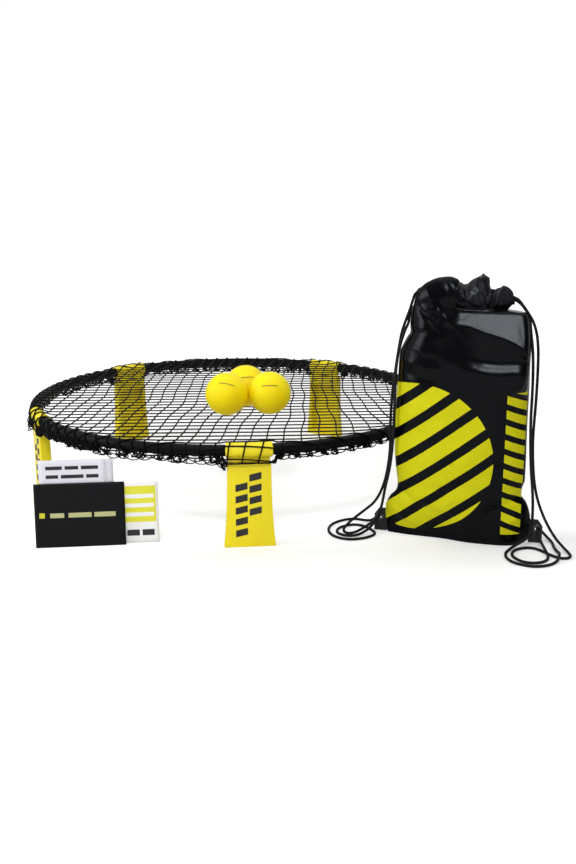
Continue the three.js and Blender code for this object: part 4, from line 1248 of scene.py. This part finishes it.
finish_look(tree, {"Base Color": mottled_tone(tree, 900.0, 1.0, "#1c1c1f", "#2e2e32")[0],
                   "Roughness": 0.6})
eyelet_look, tree = new_material("dark_nickel")
tone, handled, _ = mottled_tone(tree, 180.0, 3.0, "#3c3d40", "#57585c")
finish_look(tree, {"Base Color": tone, "Metallic": 1,
                   "Roughness": add_node(tree, "MapRange", {
                       "Value": handled, "To Min": 0.2, "To Max": 0.4})})

for side, name in ((-1, "left"), (1, "right")):
    tab = add_shape(f"corner_webbing_{name}", bpy.ops.mesh.primitive_cube_add, size=1,
                    location=(side * (TAB_START + TAB_OUTER) / 2, 0, (TAB_BOTTOM + TAB_TOP) / 2),
                    scale=(TAB_OUTER - TAB_START, TAB_THICKNESS, TAB_TOP - TAB_BOTTOM))
    edit_all(tab)
    bpy.ops.mesh.bisect(plane_co=(side * (TAB_OUTER - 0.009), 0, TAB_TOP),
                        plane_no=(side * 0.72, 0, 0.5), clear_outer=True, use_fill=True)
    leave_edit()
    combine(tab, add_shape("tab_hole", bpy.ops.mesh.primitive_cylinder_add, vertices=32,
                           radius=TAB_HOLE_RADIUS, depth=HOLE_CUTTER, rotation=(math.pi / 2, 0, 0),
                           location=(side * EYELET_AT[0], 0, EYELET_AT[1])))
    round_edges(tab, 0.0005, 2)
    tab.data.transform(BAG_PLACE)
    tab.data.materials.append(tab_look)
    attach(tab, "bag")
    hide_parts(f"corner_tab_{name}")

    shape = bmesh.new()
    for column in STITCH_ROWS:
        for out in (-1, 1):
            for i in range(STITCH_COUNT):
                y, z = out * (TAB_THICKNESS / 2 + 0.0001), STITCH_START + i * STITCH_PITCH
                ends = [BAG_PLACE @ Vector((side * column, *end))
                        for end in ((y, z), (y + out * 0.0003, z + 0.0011), (y, z + 0.0022))]
                sweep_cord(shape, ends, THREAD_RADIUS, 6)
    stitches = finish_piece(f"tab_stitches_{name}", shape, thread_look)
    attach(stitches, "bag")

    shape = bmesh.new()
    middle = Vector((side * EYELET_AT[0], 0, EYELET_AT[1]))
    turns = [2 * math.pi * i / EYELET_STEPS for i in range(EYELET_STEPS)]
    rings = [[shape.verts.new(BAG_PLACE @ (middle + Vector((r * math.cos(a), y, r * math.sin(a)))))
              for r, y in EYELET_PROFILE] for a in turns]
    skin(shape, rings + rings[:1], capped=False, smooth=True)
    ring = finish_piece(f"rolled_eyelet_{name}", shape, eyelet_look, turn_out=True)
    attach(ring, "bag")
    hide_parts(f"eyelet_{name}")

# ---- Paper goods -----------------------------------------
# A once-folded rule sheet standing open, a vinyl sticker on its backing, and a folded dark card
# in front. All are litho printed; plain bars stand where print would be.
CARDS_OUT = 0.5148
CARDS_BEARING = math.radians(-128.99)
CARDS_PLACE = Matrix.Translation(RING_MIDDLE + polar(CARDS_OUT, CARDS_BEARING))
BOOKLET_WIDTH, BOOKLET_HEIGHT = 0.139, 0.167
BOOKLET_OPEN = math.radians(14)
BOOKLET_STEP = 0.009  # the back leaf is cut lower
COVER_WIDTH = 0.1245
PAPER = 0.0004
SHEET_STEPS = 24
BACK_LEAF_FROM, BACK_LEAF_BLEND = 0.0035, 0.004  # behind the fold's line
INK_DARK, INK_WHITE, INK_SAND = "#26262b", "#f3f3f1", "#b8b884"
STICKER_LEFT, STICKER_SIZE, STICKER_LEAN = 0.033, 0.119, math.radians(3.5)
STICKER_TOP = -0.0006
CARD_LEFT, CARD_WIDTH, CARD_HEIGHT, CARD_LEAN = -0.080, 0.169, 0.123, math.radians(7)
CARD_TOP = -0.0020


def standing_sheet(name, points, height, lean, bow, thickness, look):
    """A sheet that stands on a line of floor points, leaning back. UV is metres along and up."""
    shape = bmesh.new()
    run = [0.0]
    for a, b in zip(points, points[1:]):
        run.append(run[-1] + (Vector(b) - Vector(a)).length)
    rows, flat = [], []
    for i in range(SHEET_STEPS + 1):
        up = height * i / SHEET_STEPS
        row = []
        for (x, y), s in zip(points, run):
            curve = bow * math.sin(math.pi * s / run[-1]) * (0.4 + 0.6 * i / SHEET_STEPS)
            place = Vector((x, y + up * math.sin(lean) - curve, up * math.cos(lean)))
            row.append(shape.verts.new(CARDS_PLACE @ place))
        rows.append(row)
        flat.append([(s, up) for s in run])
    lay_faces(shape, rows, flat)
    sheet = finish_piece(name, shape, look)
    apply_modifier(sheet, "SOLIDIFY", thickness=thickness, offset=-1)
    return sheet


def printed_paper(name, paper, bars, roughness, gloss=0.35):
    """Printed paper: fibres and a little tooth, with bars as (left, right, low, high, colour)."""
    material, tree = new_material(name)
    across, height = uv_places(tree)
    tone, fibre, _ = mottled_tone(tree, 450.0, 3.0, paper[1], paper[0])
    for left, right, low, high, colour in bars:
        mask = product(tree, zone(tree, across, left, right), zone(tree, height, low, high))
        tone = add_node(tree, "Mix", {0: mask, COLOUR_A: tone, COLOUR_B: linear(colour)},
                        COLOUR_OUT, data_type="RGBA")
    worn = add_node(tree, "MapRange", {
        "Value": fibre, "To Min": roughness - 0.05, "To Max": roughness + 0.07})
    finish_look(tree, {"Base Color": tone, "Roughness": worn, "Specular IOR Level": gloss},
                fibre, 0.15, 0.0001)
    return material


def straight_line(left, width, steps, y):
    """Floor points from left to right, for a straight sheet."""
    return [(left + width * i / steps, y) for i in range(steps + 1)]


# The rule sheet: the printed front leaf runs from the fold to the right, under a cover.
half = BOOKLET_WIDTH / 2
leaf_run, leaf_back = [BOOKLET_WIDTH * part(BOOKLET_OPEN) for part in (math.cos, math.sin)]
front_leaf = [(half - BOOKLET_WIDTH * i / 16, 0.0009) for i in range(16)]
fold = [(-half + x, y) for x, y in ((0.0012, 0.0009), (0.0003, 0.0011), (0.0004, 0.0016),
                                    (0.0016, 0.0024))]
back_leaf = [(-half + leaf_run * i / 16, 0.0014 + leaf_back * i / 16) for i in range(1, 17)]
booklet_look = printed_paper("uncoated_paper", ("#e2e1e9", "#d6d5de"), [], 0.7)
booklet = standing_sheet("rule_sheet", (front_leaf + fold + back_leaf)[::-1], BOOKLET_HEIGHT,
                         0.0, 0.0, PAPER, booklet_look)
for vertex in booklet.data.vertices:
    behind = (CARDS_PLACE.inverted() @ vertex.co).y - BACK_LEAF_FROM
    if behind > 0:
        vertex.co.z *= 1 - BOOKLET_STEP / BOOKLET_HEIGHT * min(behind / BACK_LEAF_BLEND, 1)
cover_line = [(-half + 0.0004 + COVER_WIDTH * i / 16, 0.0004 - 0.0008 * max(i - 13, 0) / 3)
              for i in range(17)]
cover_bars = [(left, right, low, low + 0.007, INK_DARK) for left, right, low in (
    (0.013, 0.044, 0.148), (0.049, 0.074, 0.148), (0.079, 0.111, 0.148),
    (0.013, 0.036, 0.131), (0.041, 0.083, 0.131), (0.088, 0.111, 0.131))]
cover_look = printed_paper("cover_paper", ("#e4e3eb", "#d8d7e0"), cover_bars, 0.62)
cover = standing_sheet("rule_cover", cover_line, BOOKLET_HEIGHT - 0.0008, 0.0, 0.0, 0.0003,
                       cover_look)
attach(cover, "booklet")
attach(booklet, "booklet")
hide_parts("rule_booklet")

sticker_bars = [(0.050, 0.114, 0.041, 0.112, "#e3df3a"),
                *[(0.056, 0.110, low, low + 0.008, INK_WHITE) for low in (0.052, 0.070, 0.088)],
                *[(left, right, 0.014, 0.026, INK_DARK)
                  for left, right in ((0.058, 0.082), (0.087, 0.110))]]
sticker_look = printed_paper("vinyl_sticker", ("#f6f6f4", "#efefec"), sticker_bars, 0.35)
foot = STICKER_TOP - STICKER_SIZE * math.sin(STICKER_LEAN)
sticker = standing_sheet("sticker", straight_line(STICKER_LEFT, STICKER_SIZE, 16, foot),
                         STICKER_SIZE, STICKER_LEAN, 0.0002, 0.0003, sticker_look)
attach(sticker, "sticker")
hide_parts("sticker_sheet")

card_bars = [(0.009, 0.019, 0.057, 0.067, "#c9c832"),
             *[(left, right, 0.057, 0.066, INK_SAND)
               for left, right in ((0.029, 0.055), (0.063, 0.106), (0.111, 0.151))]]
card_look = printed_paper("laminated_card", ("#0c0d11", "#08090c"), card_bars, 0.42, 0.15)
foot = CARD_TOP - CARD_HEIGHT * math.sin(CARD_LEAN)
card = standing_sheet("dark_card", straight_line(CARD_LEFT, CARD_WIDTH, 20, foot), CARD_HEIGHT,
                      CARD_LEAN, 0.0004, 0.0006, card_look)
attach(card, "card")
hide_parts("folder_card")

# ---- Studio ----------------------------------------------
# A white sweep under soft boxes: one wide above, one small and bright at the front, one at the
# left, and a low strip in front that lights what is under the net.
scene = bpy.context.scene
scene.view_settings.view_transform = "Standard"
WORLD_LIGHT = 0.36
ROOM_BEHIND_CAMERA = 0.2  # how bright the unlit side of the studio is in a shiny surface
FLOOR_NEAR, FLOOR_FAR = 0.7, 3.0  # from the middle, between which the floor's lift grows and it fades to white
FLOOR_LIFT_NEAR, FLOOR_LIFT_FAR, FLOOR_PAINTED_SHADOW = 0.42, 0.95, 0.25
world = bpy.data.worlds.new("white_studio")
scene.world = world
world.use_nodes = True
tree = world.node_tree
rays = add_node(tree, "LightPath").node.outputs
aim = add_node(tree, "SeparateXYZ", [add_node(tree, "TexCoord", output="Generated")], "Y")
backdrop = add_node(tree, "MapRange", [aim, -0.3, 0.4, ROOM_BEHIND_CAMERA, 1.0])
seen = add_node(tree, "Math", [rays["Is Camera Ray"], rays["Is Transmission Ray"]],
                operation="MAXIMUM")
lit = add_node(tree, "Mix", {0: rays["Is Glossy Ray"], 2: WORLD_LIGHT, 3: backdrop})
strength = add_node(tree, "Mix", {0: seen, 2: lit, 3: 1.0})
plug(tree, tree.nodes["Background"], {0: (1, 1, 1, 1), 1: strength})

floor = add_shape("floor", bpy.ops.mesh.primitive_plane_add, size=30, location=(0, 0, -0.0002))
floor_look, tree = new_material("white_sweep")
place = add_node(tree, "TexCoord", output="Object")
away = add_node(tree, "VectorMath", [place], "Value", operation="LENGTH")
# Painted shadow: just in front of the set the floor's lift drops in a band, so the floor turns a
# little grey there like a soft shadow.
toward = add_node(tree, "SeparateXYZ", [place], "Y")
dip = product(tree, *[add_node(tree, "MapRange", [toward, *edge], interpolation_type="SMOOTHSTEP")
                      for edge in ((-0.74, -0.54), (-0.36, -0.48))])
near_lift = add_node(tree, "MapRange", {
    "Value": dip, "To Min": FLOOR_LIFT_NEAR, "To Max": FLOOR_LIFT_NEAR - FLOOR_PAINTED_SHADOW})
lift = add_node(tree, "MapRange", [away, FLOOR_NEAR, FLOOR_FAR, near_lift, FLOOR_LIFT_FAR])
seen = add_node(tree, "LightPath", output="Is Camera Ray")
finish_look(tree, {"Base Color": (0.82, 0.82, 0.82, 1), "Roughness": 0.9, "Specular IOR Level": 0.0,
                   "Emission Color": (1, 1, 1, 1), "Emission Strength": product(tree, seen, lift)})
floor.data.materials.append(floor_look)


def soft_box(name, place, aim, size, power):
    """A soft box: an area lamp at a place, turned to aim at a point."""
    data = bpy.data.lights.new(name, "AREA")
    data.shape = "RECTANGLE"
    data.size, data.size_y = size
    data.energy = power
    lamp = bpy.data.objects.new(name, data)
    lamp.location = place
    lamp.rotation_euler = (Vector(aim) - Vector(place)).to_track_quat("-Z", "Y").to_euler()
    scene.collection.objects.link(lamp)


soft_box("top_box", (0.1, -0.2, 2.6), (0, 0, 0.1), (2.8, 2.2), 28)
soft_box("front_box", (-0.34, -2.5, 2.4), (0.1, -0.3, 0.2), (0.6, 0.36), 32)
soft_box("left_box", (-2.8, -0.9, 1.3), (0, -0.2, 0.2), (1.2, 1.6), 38)
soft_box("low_box", (-0.1, -2.7, 0.32), (0.1, 0, 0.2), (2.6, 0.5), 4)
